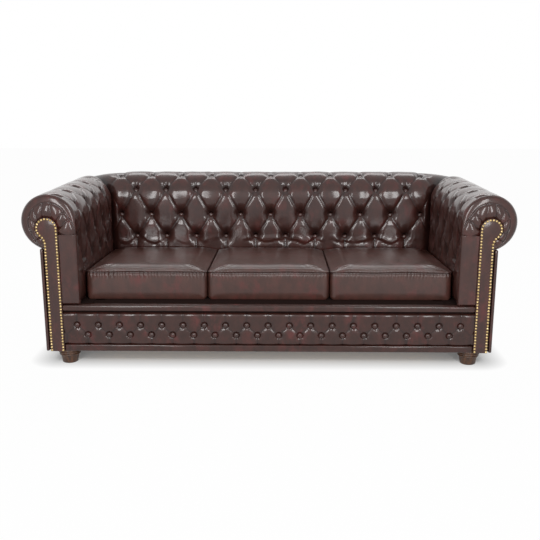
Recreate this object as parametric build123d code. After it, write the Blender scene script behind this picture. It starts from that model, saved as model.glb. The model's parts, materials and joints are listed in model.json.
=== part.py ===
from build123d import *
import math
import os

# Chesterfield sofa bed, millimetres. X to the viewer's right, front at -Y, Z up,
# origin on the floor under the middle.

# Seat and shell
INNER_WIDTH = 1548.0        # between the arm faces
DEPTH = 930.0               # nail heads to the rear of the back roll
ROLL_R = 113.0              # outside of the stuffed roll
ROLL_Z = 603.0              # height of the roll's centre
CORE_R = 71.0               # wooden roll inside the stuffing
CORE_T = 96.0               # thickness of the arm and back boards
PANEL_T = 12.7              # plain outer panels
SKIN_GAP = 0.3              # between a soft piece and its neighbour
FOOT_H = 62.0
FOOT_TOP_D = 92.0
FOOT_LOW_D = 68.0
FOOT_CAP = 0.78             # heights of the cap and the bead, shares of the foot's
FOOT_BEAD = 0.6
FOOT_WAIST = 0.45           # waist's width between the low and the top width, as a share
FOOT_NECK = 0.93            # width beside the bead, as a share of the top's
FOOT_INSET_X = 68.0         # foot centre outside the arm face
FOOT_FRONT_INSET = 60.0     # foot centre behind the front
FOOT_REAR_INSET = 140.0
BLOCK_H = 70.0

# Front of the base
FACE_T = 20.0               # facing, strips and front panel stand this far before the boards
NAIL_H = 5.0
NAIL_D = 10.5
NAIL_PITCH = 12.5
NAIL_INSET = 6.0            # nail row inside the facing's edge
BOARD_T = 18.0
STRIP_H = 28.0
RAIL_H = 24.0
RAIL_BODY = 16.2            # rail's depth on its board
RAIL_GAP = 10.0             # dark slot under the rail
FRONT_PITCH = 88.0          # between buttons of one row of the front panel
FRONT_ROW_STEP = 42.0
FRONT_ROW_LOW = 43.0        # lower row over the panel's lower edge
FRONT_COLUMNS = 9           # buttons each side of the middle one, upper row
FRONT_PIT = 13.0
FRONT_CREASE = 9.0

# Keyhole facing and the pleated ring round the scroll
FACING_IN = 73.0            # inner edge outside the arm face
FACING_W = 59.0
FACING_HEAD_R = 45.0
FACING_DROP = 23.0          # facing's round head under the scroll's centre
FACING_NECK_R = 40.0
RING_PLEATS = 16
RING_DROP = 37.0            # pleated ring's inner end under the scroll's centre
PLEAT_W = 5.5
PLEAT_MIDDLE = 0.65         # middle and length of a pleat, shares of the scroll's radius
PLEAT_L = 0.5
STRIP_EDGE_R = 11.0

# Deep buttoning of the arms and back
ROW_AT = (155.0, 262.0, 392.0, 484.0)      # rows of buttons over the pad's lower edge, along the leather
ROWS = len(ROW_AT)
BACK_LAST = 39.0            # last column of the back inside the arm's face
ARM_LAST = 44.0             # last column of the arm before the back's face
ARM_FIRST = 55.0            # first button of the top row behind the front
BACK_COLUMNS = 11           # half pitches from the middle to the mitre
ARM_COLUMNS = 9             # half pitches from the front to the mitre
PIT = 28.0                  # buttons sunk below the crest of the stuffing
CREASE = 17.0
EDGE_DRAW = 7.0             # stuffing drawn in at its sewn edges
EDGE_PLEAT = 0.4            # share of a pleat's depth that is left there
PILLOW_POWER = 0.6          # fullness of the pillows between buttons, and of the end pleats
PLEAT_POWER = 1.2
PAD_T = 38.0
BUTTON_D = 22.0
BUTTON_H = 13.0
BUTTON_RIM = 0.7            # rim's height, a share of the button's
BUTTON_FLAT = 0.3           # radii of the flat top and the shank's point, shares of the width
SHANK_POINT = 0.02
SHANK_GAP = 0.6             # shank over the bottom of its pit

# Bed sections, folded in a Z
BED_REAR_GAP = 17.0         # rear hinge before the back's face
HEAD_SHORT = 14.0           # head section ends before the rear hinge
FRAME_H = 18.0
FRAME_W = 30.0
MATTRESS_H = 45.0
FOLD_GAP = 1.0
FLOOR_T = 7.7
BED_SET_BACK = 97.0         # front hinge behind the front
WELL_SIDE = 44.0            # well's side board inside the arm face
HALF_STEP = 5.0             # each section is this much narrower than the one under it, each side
EAR_T = 4.5
EAR_R = 12.0
FOOT_EAR_R = 10.0
EAR_BASE = 0.48             # half height of an ear's base, a share of the frame's
SECTION_END = 12.0          # frame ends short of the rear hinge
SLAT_T = 5.0
SLAT_W = 42.0
SLATS = 8
MATTRESS_IN = 12.0          # mattress side inside the narrowest frame's side
MATTRESS_EDGE_R = 9.0
APRON_T = 9.0
APRON_GAP = 4.0
APRON_SIDE = 1.5
FOOT_BORDER = 60.0          # leather border over the front end of the foot frame

# Lift
LIFT_R = 200.0
LIFT_LOW = 30.0             # degrees below level, folded
LIFT_HIGH = 35.0            # degrees above level, open
LIFT_T = 6.0
LIFT_W = 18.0
LIFT_SIDE = 3.0             # air each side of a lift arm
HEAD_SIDE = 15.0            # head frame inside the lift arms, with room for its ears
PLATE_T = 6.0
PLATE_EDGE = 26.0
PIN_D = 10.0
HINGE_PIN_D = 8.0
RUN = 0.05                  # radial clearance of a pin that turns
HEAD_PIN_FRONT = 178.0      # lift pins on the head frame, behind the front hinge
HEAD_PIN_END = 48.0         # rear pins before the head frame's end

# Folding legs
LEG_D = 11.0
LEG_PIVOT_D = 10.0
LEG_CLEAR = 1.0             # over the floor, open
MIDDLE_LEG_AT = 60.0        # from the rear hinge
FOOT_LEG_END = 50.0         # from the bed's front end, folded
MIDDLE_LEG_X = 560.0
FOOT_LEG_X = 600.0
LEG_SOCKET = 8.0

# Cushions
CUSHIONS = 3
CUSHION_H = 140.0
CUSHION_FALL = 0.22         # share of the height that is lost towards the back
CUSHION_GAP = 1.0
CUSHION_SIDE = 3.0
CUSHION_FRONT = 6.0         # cushion front behind the bed's front end
CUSHION_REAR = 7.0
CUSHION_CORNER = 42.0
CUSHION_CROWN = 24.0
BORDER_RINGS = ((0, 11), (0.113, 4), (0.5, 0), (0.87, 3), (1, 9))      # share of the border's height, inset
CROWN_RINGS = ((0.15, 7), (0.42, 18), (0.75, 38))      # share of the crown's height, inset
CROWN_FLAT = 0.55           # flat middle of the crown, a share of its last ring

FRONT = -DEPTH / 2 + NAIL_H
REAR = DEPTH / 2
ARM_FACE = INNER_WIDTH / 2
BACK_FACE = REAR - 2 * ROLL_R
SHELL_FRONT = FRONT + FACE_T
CORE_IN = ROLL_R - CORE_R
CORE_OUT = CORE_IN + CORE_T
PANEL_OUT = CORE_OUT + SKIN_GAP + PANEL_T
FLOOR_TOP = FOOT_H + FLOOR_T
STACK_Z = FLOOR_TOP + SKIN_GAP
SECTION_H = FRAME_H + MATTRESS_H
MIDDLE_Z = STACK_Z + SECTION_H + FOLD_GAP
FOOT_Z = MIDDLE_Z + SECTION_H + FOLD_GAP
DECK = FOOT_Z + SECTION_H
PANEL_LOW = FOOT_H + STRIP_H
PANEL_TOP = DECK - RAIL_H - RAIL_GAP
PAD_LOW = DECK + SKIN_GAP
STRAIGHT = ROLL_Z - PAD_LOW
ROLL_END = 2 * math.pi - math.acos((ROLL_R - PANEL_OUT) / ROLL_R)
PAD_END = STRAIGHT + ROLL_R * ROLL_END
HINGE_Y = FRONT + BED_SET_BACK - NAIL_H
HINGE_Z = MIDDLE_Z - FOLD_GAP / 2
REAR_HINGE_Y = BACK_FACE - BED_REAR_GAP
HEAD_L = REAR_HINGE_Y - HINGE_Y - HEAD_SHORT
HEAD_PIN_REAR = HEAD_L - HEAD_PIN_END
FOOT_LEG_AT = REAR_HINGE_Y - HINGE_Y - FOOT_LEG_END
REAR_HINGE_Z = FOOT_Z - FOLD_GAP / 2
WELL_X = ARM_FACE - WELL_SIDE
LIFT_X = WELL_X - PLATE_T - LIFT_SIDE - LIFT_T
HEAD_X = LIFT_X - HEAD_SIDE
MIDDLE_X = HEAD_X - HALF_STEP
FOOT_X = MIDDLE_X - HALF_STEP
MATTRESS_X = FOOT_X - MATTRESS_IN
HEAD_PIN_Z = STACK_Z + FRAME_H / 2
LIFT_Z = HEAD_PIN_Z + LIFT_R * math.sin(math.radians(LIFT_LOW))
LIFT_BACK = LIFT_R * math.cos(math.radians(LIFT_LOW))
LIFT_RISE = LIFT_R * (math.sin(math.radians(LIFT_LOW)) + math.sin(math.radians(LIFT_HIGH)))
LEG_DROP = FRAME_H / 3
LEG_L = STACK_Z + LIFT_RISE + LEG_DROP - LEG_CLEAR
RAIL_REAR = SHELL_FRONT + RAIL_BODY
FACING_OUT = FACING_IN + FACING_W
BACK_PITCH = 2 * (ARM_FACE - BACK_LAST) / (BACK_COLUMNS - 1)
ARM_PITCH = 2 * (BACK_FACE - ARM_LAST - FRONT - ARM_FIRST) / (ARM_COLUMNS - 1)
FACING_Z = ROLL_Z - FACING_DROP


def block(x0, x1, y0, y1, z0, z1):
    middle = Pos((x0 + x1) / 2, (y0 + y1) / 2, (z0 + z1) / 2)
    return middle * Box(x1 - x0, y1 - y0, z1 - z0)


def rect(a0, a1, b0, b1):
    return Pos((a0 + a1) / 2, (b0 + b1) / 2) * Rectangle(a1 - a0, b1 - b0)


def along_y(sketch, y0, y1):
    # sketch drawn in X and Z
    plane = Plane(origin=(0, y1, 0), x_dir=(1, 0, 0), z_dir=(0, -1, 0))
    return extrude(plane * sketch, amount=y1 - y0)


def along_x(sketch, x0, x1):
    # sketch drawn in Y and Z
    plane = Plane(origin=(x0, 0, 0), x_dir=(0, 1, 0), z_dir=(1, 0, 0))
    return extrude(plane * sketch, amount=x1 - x0)


def rod(x0, x1, y, z, diameter):
    return Pos((x0 + x1) / 2, y, z) * Rot(0, 90, 0) * Cylinder(diameter / 2, abs(x1 - x0))


def other_side(shape):
    return mirror(shape, Plane.YZ)


def both(shape):
    return [shape, other_side(shape)]


def polygon(points):
    return Face(Wire.make_polygon(points, close=True))


def closed(faces):
    return Solid(Shell(faces))


def tuft_depth(u, v, last, pit, crease):
    # u and v count half pitches and rows; rows 0 to last hold buttons where u + v is odd,
    # past them plain pleats run on from the end rows
    if v < 0:
        crest = abs(math.cos(math.pi * u / 2)) ** PLEAT_POWER
    elif v > last:
        crest = abs(math.sin(math.pi * u / 2)) ** PLEAT_POWER
    else:
        a = math.sin(math.pi * (u + v + 1) / 2)
        b = math.sin(math.pi * (u - v + 1) / 2)
        crest = abs(a * b) ** PILLOW_POWER
    return pit if is_button(u, v, last) else crease * (1 - crest)


def is_button(u, v, last):
    return u == int(u) and v == int(v) and 0 <= v <= last and int(u + v) % 2 == 1


def quilt(outer, inner):
    # outer and inner are equal grids of points [row][column]; each patch of the outer one is
    # folded along its thinner diagonal, which is the pleat, and the rest of the skin is flat
    faces = []
    rows, columns = len(outer), len(outer[0])
    thick = [[math.dist(a, b) for a, b in zip(*lines)] for lines in zip(outer, inner)]
    for r in range(rows - 1):
        for c in range(columns - 1):
            p, q = outer[r][c], outer[r][c + 1]
            s, t = outer[r + 1][c + 1], outer[r + 1][c]
            if thick[r][c] + thick[r + 1][c + 1] < thick[r][c + 1] + thick[r + 1][c]:
                faces += [polygon([p, q, s]), polygon([p, s, t])]
            else:
                faces += [polygon([p, q, t]), polygon([q, s, t])]
        ends = [inner[r][0], inner[r][-1], inner[r + 1][-1], inner[r + 1][0]]
        faces.append(polygon(ends))
    for c in (0, -1):
        faces.append(polygon([row[c] for row in outer] + [row[c] for row in reversed(inner)]))
    for r in (0, -1):
        faces.append(polygon(list(outer[r]) + [inner[r][-1], inner[r][0]]))
    return closed(faces)


def roll_point(t, depth):
    # distance outside the face and height, for a place t along the leather
    if t <= STRAIGHT:
        return depth, PAD_LOW + t
    turn = (t - STRAIGHT) / ROLL_R
    radius = ROLL_R - depth
    return ROLL_R - radius * math.cos(turn), ROLL_Z + radius * math.sin(turn)


def leather_at(v):
    # distance along the leather of a row number, past the end rows too
    n = max(0, min(ROWS - 2, math.floor(v)))
    return ROW_AT[n] + (v - n) * (ROW_AT[n + 1] - ROW_AT[n])


def pad_rows():
    # row numbers in half steps, with the sewn edges at both ends
    first = -ROW_AT[0] / (ROW_AT[1] - ROW_AT[0])
    last = ROWS - 1 + (PAD_END - ROW_AT[-1]) / (ROW_AT[-1] - ROW_AT[-2])
    whole = [n / 2 for n in range(math.ceil(2 * first + 0.4), math.floor(2 * last - 0.2) + 1)]
    return [first] + whole + [last]


def pad_depth(u, v, rows, last):
    depth = tuft_depth(u, v, ROWS - 1, PIT, CREASE)
    if v in (rows[0], rows[-1]):
        return EDGE_DRAW + EDGE_PLEAT * depth
    return max(depth, CREASE) if abs(u) > last else depth


def pad_grid(columns, place):
    # place(u, distance outside the face, height) puts one point of the leather
    rows = pad_rows()
    last = columns[-1] - 1
    outer, inner = [], []
    for v in rows:
        t = leather_at(v)
        crest = [roll_point(t, pad_depth(u, v, rows, last)) for u in columns]
        outer.append([place(u, off, z) for u, (off, z) in zip(columns, crest)])
        inner.append([place(u, *roll_point(t, PAD_T)) for u in columns])
    return outer, inner


def arm_place(u, off, z):
    ends = (SHELL_FRONT + SKIN_GAP, BACK_FACE + off - SKIN_GAP)
    if u < 0:
        y = ends[0]
    elif u > ARM_COLUMNS - 1:
        last = arm_column(ARM_COLUMNS - 1)
        y = last + (ends[1] - last) * (u - ARM_COLUMNS + 1)
    else:
        y = arm_column(u)
    return (ARM_FACE + off, y, z)


def arm_column(u):
    return FRONT + ARM_FIRST + u * ARM_PITCH / 2


def back_place(u, off, z):
    reach = ARM_FACE + off - SKIN_GAP
    side = math.copysign(1, u)
    if abs(u) > BACK_COLUMNS - 1:
        last = back_column(BACK_COLUMNS - 1)
        x = side * (last + (reach - last) * (abs(u) - BACK_COLUMNS + 1))
    else:
        x = back_column(u)
    return (x, BACK_FACE + off, z)


def back_column(u):
    return u * BACK_PITCH / 2


def arm_columns():
    return [-0.5] + [n / 2 for n in range(2 * ARM_COLUMNS + 1)]


def back_columns():
    return [n / 2 for n in range(-2 * BACK_COLUMNS, 2 * BACK_COLUMNS + 1)]


def arm_pad():
    return quilt(*pad_grid(arm_columns(), arm_place))


def back_pad():
    return quilt(*pad_grid(back_columns(), back_place))


def button(seat, outward):
    # covered button on its shank, over a pit in the leather
    plane = Plane(origin=seat, z_dir=outward)
    heights = (SHANK_GAP, BUTTON_RIM * BUTTON_H, BUTTON_H)
    radii = (SHANK_POINT * BUTTON_D, BUTTON_D / 2, BUTTON_FLAT * BUTTON_D)
    rings = [plane * Pos(0, 0, h) * RegularPolygon(r, 8) for h, r in zip(heights, radii)]
    return loft(rings, ruled=True)


def pad_buttons(columns, place, turn):
    # turn(outward, upward) gives the leather's direction
    solids = []
    for row in range(ROWS):
        t = ROW_AT[row]
        angle = max(0.0, (t - STRAIGHT) / ROLL_R)
        for u in columns:
            if is_button(u, row, ROWS - 1):
                seat = place(u, *roll_point(t, PIT))
                solids.append(button(seat, turn(-math.cos(angle), math.sin(angle))))
    return solids


def arm_buttons():
    inside = [u for u in arm_columns() if 0 <= u < ARM_COLUMNS]
    return pad_buttons(inside, arm_place, lambda out, up: (out, 0, up))


def back_buttons():
    inside = [u for u in back_columns() if abs(u) < BACK_COLUMNS]
    return pad_buttons(inside, back_place, lambda out, up: (0, out, up))


def core_outline(face):
    board = rect(face + CORE_IN, face + CORE_OUT, FOOT_H, ROLL_Z)
    return board + Pos(face + ROLL_R, ROLL_Z) * Circle(CORE_R)


def mitre(side):
    return Plane(origin=(side * ARM_FACE, BACK_FACE, 0), x_dir=(0, 0, 1), z_dir=(-side, 1, 0))


def arm_core():
    whole = along_y(core_outline(ARM_FACE), SHELL_FRONT, REAR)
    return split(whole, bisect_by=mitre(1), keep=Keep.BOTTOM)


def back_core():
    reach = ARM_FACE + 2 * ROLL_R
    return mitred(along_x(core_outline(BACK_FACE), -reach, reach))


def mitred(shape):
    # cut both ends of a piece of the back to meet the arms
    right = split(shape, bisect_by=mitre(1), keep=Keep.TOP)
    return split(right, bisect_by=mitre(-1), keep=Keep.TOP)


def panel_outline(face):
    # plain panel below the roll, its top cut to the end of the stuffing
    inner, outer = face + CORE_OUT + SKIN_GAP, face + PANEL_OUT
    rise = (ROLL_R - PAD_T) * math.sin(ROLL_END) + ROLL_Z - SKIN_GAP * 4
    top = ROLL_R * math.sin(ROLL_END) + ROLL_Z - SKIN_GAP * 4
    points = [(inner, FOOT_H), (outer, FOOT_H), (outer, top), (inner, rise)]
    return make_face(Polyline(*points, close=True))


def arm_outer_panel():
    board = along_y(panel_outline(ARM_FACE), SHELL_FRONT, BACK_FACE + PANEL_OUT)
    board = split(board, bisect_by=mitre(1), keep=Keep.BOTTOM)
    top = ROLL_R * math.sin(ROLL_END) + ROLL_Z - SKIN_GAP * 4
    edge = block(ARM_FACE + FACING_OUT + SKIN_GAP, ARM_FACE + PANEL_OUT,
                 FRONT + NAIL_H, SHELL_FRONT, FOOT_H, top)
    return board + edge


def back_outer_panel():
    reach = ARM_FACE + PANEL_OUT
    return mitred(along_x(panel_outline(BACK_FACE), -reach, reach))


def keyhole(inset):
    # scroll facing: a strip with a round head that leans out over the neck
    inner, outer = ARM_FACE + FACING_IN + inset, ARM_FACE + FACING_OUT - inset
    head, neck = FACING_HEAD_R - inset, FACING_NECK_R + inset
    centre_x = ARM_FACE + FACING_IN + FACING_HEAD_R
    neck_x = ARM_FACE + FACING_OUT + FACING_NECK_R
    drop = math.sqrt((head + neck) ** 2 - (neck_x - centre_x) ** 2)
    lean = math.atan2(-drop, neck_x - centre_x)
    meet = (centre_x + head * math.cos(lean), FACING_Z + head * math.sin(lean))
    bend = (math.pi + (math.pi + lean)) / 2
    middle = (neck_x + neck * math.cos(bend), FACING_Z - drop + neck * math.sin(bend))
    crown = ((math.pi + lean) / 2, centre_x, head)
    top = (crown[1] + head * math.cos(crown[0]), FACING_Z + head * math.sin(crown[0]))
    low = FOOT_H + inset
    return [
        Line((inner, low), (inner, FACING_Z)),
        ThreePointArc((inner, FACING_Z), top, meet),
        ThreePointArc(meet, middle, (outer, FACING_Z - drop)),
        Line((outer, FACING_Z - drop), (outer, low)),
    ]


def keyhole_face(inset):
    edges = keyhole(inset)
    return make_face(edges + [Line(edges[-1] @ 1, edges[0] @ 0)])


def arm_facing():
    return along_y(keyhole_face(0), FRONT, SHELL_FRONT)


def nail(x, z):
    plane = Plane(origin=(x, FRONT, z), x_dir=(1, 0, 0), z_dir=(0, -1, 0))
    low = plane * RegularPolygon(NAIL_D / 2, 6)
    high = plane * Pos(0, 0, NAIL_H) * RegularPolygon(NAIL_D / 5, 6)
    return loft([low, high], ruled=True)


def facing_nails():
    row = Wire(keyhole(NAIL_INSET))
    count = round(row.length / NAIL_PITCH)
    places = [row.position_at(n / count) for n in range(count + 1)]
    return [nail(p.X, p.Y) for p in places]


def ring_outline():
    # between the facing's head and the edge of the scroll, down to the plain strips
    centre = Pos(ARM_FACE + ROLL_R, ROLL_Z)
    low = ROLL_R * math.sin(ROLL_END) + ROLL_Z
    whole = centre * Circle(ROLL_R - SKIN_GAP)
    whole -= rect(ARM_FACE, ARM_FACE + 2 * ROLL_R, low - ROLL_R, low)
    whole -= rect(ARM_FACE, ARM_FACE + FACING_OUT - SKIN_GAP, low - ROLL_R, ROLL_Z - RING_DROP)
    return whole - keyhole_face(-SKIN_GAP)


def arm_ring():
    back = SHELL_FRONT
    front = FRONT + NAIL_H
    ring = along_y(ring_outline(), front, back)
    rim = [e for e in ring.edges().filter_by(GeomType.CIRCLE)
           if abs(e.radius - ROLL_R + SKIN_GAP) < 0.01 and abs(e.center().Y - front) < 0.01]
    ring = fillet(rim, STRIP_EDGE_R)
    for n in range(RING_PLEATS):
        turn = 360 * n / RING_PLEATS
        groove = Rot(45, 0, 0) * Box(PLEAT_L * ROLL_R, PLEAT_W, PLEAT_W)
        groove = Pos(PLEAT_MIDDLE * ROLL_R, 0, 0) * groove
        ring -= Pos(ARM_FACE + ROLL_R, front, ROLL_Z) * Rot(0, turn, 0) * groove
    return ring


def arm_strip():
    # plain border on the front of the inner arm, standing on the seat rail
    strip = block(ARM_FACE, ARM_FACE + FACING_IN - SKIN_GAP, FRONT + NAIL_H, SHELL_FRONT,
                  PAD_LOW, ROLL_Z - RING_DROP - SKIN_GAP)
    edge = strip.edges().filter_by(Axis.Z).sort_by(Axis.Y)[:2].sort_by(Axis.X)[0]
    return fillet(edge, STRIP_EDGE_R)


def front_panel():
    half = ARM_FACE + FACING_IN - SKIN_GAP
    height = PANEL_TOP - PANEL_LOW
    low_v, high_v = -FRONT_ROW_LOW / FRONT_ROW_STEP, (height - FRONT_ROW_LOW) / FRONT_ROW_STEP
    rows = [low_v, low_v / 2, 0, 0.5, 1, (1 + high_v) / 2, high_v]
    count = 2 * (2 * FRONT_COLUMNS + 1)
    outer, inner = [], []
    for v in rows:
        z = PANEL_LOW + FRONT_ROW_LOW + v * FRONT_ROW_STEP
        line = []
        for n in range(-count, count + 1):
            u = n / 2
            x = max(-half, min(half, u * FRONT_PITCH / 2)) if abs(n) < count else math.copysign(half, n)
            depth = tuft_depth(u, v, 1, FRONT_PIT, FRONT_CREASE)
            if v in (low_v, high_v):
                depth = FRONT_CREASE
            line.append((x, FRONT + NAIL_H + depth, z))
        outer.append(line)
        inner.append([(x, SHELL_FRONT, z) for x, y, z in line])
    return quilt(outer, inner)


def front_buttons():
    solids = []
    for row in (0, 1):
        z = PANEL_LOW + FRONT_ROW_LOW + row * FRONT_ROW_STEP
        for u in range(-2 * FRONT_COLUMNS, 2 * FRONT_COLUMNS + 1):
            if is_button(u, row, 1):
                seat = (u * FRONT_PITCH / 2, FRONT + NAIL_H + FRONT_PIT, z)
                solids.append(button(seat, (0, -1, 0)))
    return solids


def front_strip():
    half = ARM_FACE + FACING_IN - SKIN_GAP
    return block(-half, half, FRONT + NAIL_H, SHELL_FRONT, FOOT_H, PANEL_LOW)


def seat_rail():
    # the nose runs between the facings, the body between the arm boards
    nose_half = ARM_FACE + FACING_IN - SKIN_GAP
    body_half = ARM_FACE + CORE_IN
    nose = block(-nose_half, nose_half, FRONT, SHELL_FRONT, DECK - RAIL_H, DECK)
    edge = nose.edges().filter_by(Axis.X).sort_by(Axis.Y)[:2]
    nose = fillet(edge, RAIL_H / 4)
    return nose + block(-body_half, body_half, SHELL_FRONT, RAIL_REAR, DECK - RAIL_H, DECK)


def base_front_board():
    half = ARM_FACE + CORE_IN
    return block(-half, half, SHELL_FRONT, SHELL_FRONT + BOARD_T, FOOT_H, DECK - RAIL_H)


def base_side():
    # board beside the well, with a shelf out to the arm that carries the stuffing
    shelf = DECK - RAIL_H
    outline = [(WELL_X, FOOT_H), (WELL_X + BOARD_T, FOOT_H), (WELL_X + BOARD_T, shelf),
               (ARM_FACE + CORE_IN, shelf), (ARM_FACE + CORE_IN, DECK), (WELL_X, DECK)]
    sketch = make_face(Polyline(*outline, close=True))
    return along_y(sketch, SHELL_FRONT + BOARD_T, BACK_FACE + CORE_IN - BOARD_T)


def base_rear_board():
    half = ARM_FACE + CORE_IN
    rear = BACK_FACE + CORE_IN
    return block(-half, half, rear - BOARD_T, rear, FOOT_H, DECK)


def base_floor():
    return block(-WELL_X, WELL_X, SHELL_FRONT + BOARD_T, BACK_FACE + CORE_IN - BOARD_T,
                 FOOT_H, FLOOR_TOP)


def foot_places():
    x = ARM_FACE + FOOT_INSET_X
    return {"front": (x, FRONT + FOOT_FRONT_INSET), "rear": (x, REAR - FOOT_REAR_INSET)}


def foot(x, y):
    # turned foot: a flat cap, a bead, and a taper to the floor
    top, low = FOOT_TOP_D / 2, FOOT_LOW_D / 2
    cap, bead = FOOT_CAP * FOOT_H, FOOT_BEAD * FOOT_H
    waist, neck = low + FOOT_WAIST * (top - low), FOOT_NECK * top
    profile = Polyline((0, 0), (low, 0), (waist, bead), (neck, bead), close=False)
    curve = ThreePointArc((neck, bead), (top, (cap + bead) / 2), (neck, cap))
    rest = Polyline((neck, cap), (top, cap), (top, FOOT_H), (0, FOOT_H), (0, 0))
    face = make_face([profile, curve, rest])
    return Pos(x, y, 0) * revolve(Plane.XZ * face, axis=Axis.Z)


def corner_blocks():
    solids = []
    for name, (x, y) in foot_places().items():
        front = max(y - FOOT_TOP_D / 2, SHELL_FRONT + BOARD_T)
        rear = min(y + FOOT_TOP_D / 2, BACK_FACE + CORE_IN - BOARD_T)
        if name == "rear":
            front = rear - FOOT_TOP_D
        solids += both(block(WELL_X + BOARD_T, ARM_FACE + CORE_IN, front, rear, FOOT_H, FOOT_H + BLOCK_H))
    return solids


def lift_pivots():
    return [HINGE_Y + at - LIFT_BACK for at in (HEAD_PIN_FRONT, HEAD_PIN_REAR)]


def side_plate():
    # steel plate on the well's side, with a riveted stud for each lift arm
    front, rear = lift_pivots()
    edge = PLATE_EDGE
    low = STACK_Z
    points = [(front - edge, LIFT_Z + edge), (rear + edge, LIFT_Z + edge), (rear + 2 * edge, low),
              (front - edge, low)]
    sheet = make_face(Polyline(*points, close=True))
    sheet = fillet(sheet.vertices(), edge / 2)
    plate = along_x(sheet, WELL_X - PLATE_T, WELL_X)
    for y in (front, rear):
        plate += rod(LIFT_X - LIFT_SIDE / 2, WELL_X - PLATE_T, y, LIFT_Z, PIN_D)
    return plate


def lift_arm(pivot_y):
    middle = Pos(pivot_y + LIFT_BACK / 2, (LIFT_Z + HEAD_PIN_Z) / 2)
    bar = middle * Rot(0, 0, -LIFT_LOW) * SlotCenterToCenter(LIFT_R, LIFT_W)
    bore = Circle(PIN_D / 2 + RUN)
    bar -= Pos(pivot_y, LIFT_Z) * bore
    bar -= Pos(pivot_y + LIFT_BACK, HEAD_PIN_Z) * bore
    return along_x(bar, LIFT_X, LIFT_X + LIFT_T)


def ring_frame(half, y0, y1, z):
    outside = block(-half, half, y0, y1, z, z + FRAME_H)
    inside = block(-half + FRAME_W, half - FRAME_W, y0 + FRAME_W, y1 - FRAME_W, z, z + FRAME_H)
    return outside - inside


def slats(half, y0, y1, z):
    room = y1 - y0 - 2 * FRAME_W
    step = room / SLATS
    reach = half - FRAME_W
    solids = []
    for n in range(SLATS):
        y = y0 + FRAME_W + (n + 0.5) * step
        solids.append(block(-reach, reach, y - SLAT_W / 2, y + SLAT_W / 2, z, z + SLAT_T))
    return solids


def mattress(y0, y1, z):
    pad = block(-MATTRESS_X, MATTRESS_X, y0, y1, z, z + MATTRESS_H)
    return fillet(pad.edges(), MATTRESS_EDGE_R)


def ear(y, z, frame_z, radius, bore):
    # plate beside a frame, standing up or down to a hinge axis
    rise = EAR_BASE * FRAME_H
    base = rect(y, y + 3 * radius, frame_z - rise, frame_z + rise)
    post = rect(y, y + radius, min(z, frame_z), max(z, frame_z))
    return base + post + Pos(y, z) * Circle(radius) - Pos(y, z) * Circle(bore)


def rear_ear(frame_z, bore):
    bar = rect(REAR_HINGE_Y - 5 * FOOT_EAR_R, REAR_HINGE_Y, frame_z - FRAME_H / 3, frame_z + FRAME_H / 3)
    hinge = Pos(REAR_HINGE_Y, REAR_HINGE_Z)
    return bar + hinge * Circle(FOOT_EAR_R) - hinge * Circle(bore)


def head_frame():
    y0, y1 = HINGE_Y + FOLD_GAP / 2, HINGE_Y + HEAD_L
    frame = ring_frame(HEAD_X, y0, y1, STACK_Z)
    sketch = ear(HINGE_Y, HINGE_Z, HEAD_PIN_Z, EAR_R, HINGE_PIN_D / 2)
    for part in both(along_x(sketch, HEAD_X, HEAD_X + EAR_T)):
        frame += part
    return frame


def middle_frame():
    y0, y1 = HINGE_Y + FOLD_GAP / 2, REAR_HINGE_Y - SECTION_END
    z = MIDDLE_Z + MATTRESS_H
    frame = ring_frame(MIDDLE_X, y0, y1, z)
    outline = ear(HINGE_Y, HINGE_Z, z + FRAME_H / 2, EAR_R, HINGE_PIN_D / 2 + RUN)
    outline += rear_ear(z + FRAME_H / 2, HINGE_PIN_D / 2 + RUN)
    for part in both(along_x(outline, MIDDLE_X, MIDDLE_X + EAR_T)):
        frame += part
    for socket in leg_sockets(MIDDLE_X, REAR_HINGE_Y - MIDDLE_LEG_AT, z + FRAME_H - LEG_DROP):
        frame -= socket
    return frame


def foot_frame():
    y0, y1 = HINGE_Y, REAR_HINGE_Y - SECTION_END
    frame = ring_frame(FOOT_X, y0, y1, FOOT_Z)
    sketch = rear_ear(FOOT_Z + FRAME_H / 2, HINGE_PIN_D / 2)
    for part in both(along_x(sketch, FOOT_X, FOOT_X + EAR_T)):
        frame += part
    for socket in leg_sockets(FOOT_X, REAR_HINGE_Y - FOOT_LEG_AT, FOOT_Z + LEG_DROP):
        frame -= socket
    return frame


def leg_sockets(half, y, z):
    inner = half - FRAME_W
    return both(rod(inner - 1, inner + LEG_SOCKET + FOLD_GAP, y, z, LEG_PIVOT_D + 2 * RUN))


def leg(half, leg_x, y, z, way):
    # bent tube: a pivot rod between the side rails, two legs and a floor bar
    reach = half - FRAME_W + LEG_SOCKET
    far = LEG_L - LEG_D / 2
    frame = rod(-reach, reach, y, z, LEG_PIVOT_D)
    bar = rod(-leg_x, leg_x, y + way * far, z, LEG_D)
    frame += bar
    for x in (-leg_x, leg_x):
        frame += Pos(x, y + way * far / 2, z) * Rot(90, 0, 0) * Cylinder(LEG_D / 2, far)
        frame += Pos(x, y + way * far, z) * Sphere(LEG_D / 2)
    return frame


def apron():
    # covered lip that closes the gap between the folded bed and the seat rail, with the
    # border that the front end of the foot mattress lies behind
    reach = WELL_X - APRON_SIDE
    lip = block(-reach, reach, RAIL_REAR + APRON_GAP, HINGE_Y - SKIN_GAP, DECK - APRON_T, DECK)
    back = block(-FOOT_X, FOOT_X, HINGE_Y - APRON_T, HINGE_Y - SKIN_GAP, FOOT_Z + SKIN_GAP, DECK)
    border = block(-FOOT_X, FOOT_X, HINGE_Y - SKIN_GAP, HINGE_Y + FOOT_BORDER - SKIN_GAP,
                   FOOT_Z + FRAME_H, DECK)
    return lip + back + border


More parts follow.
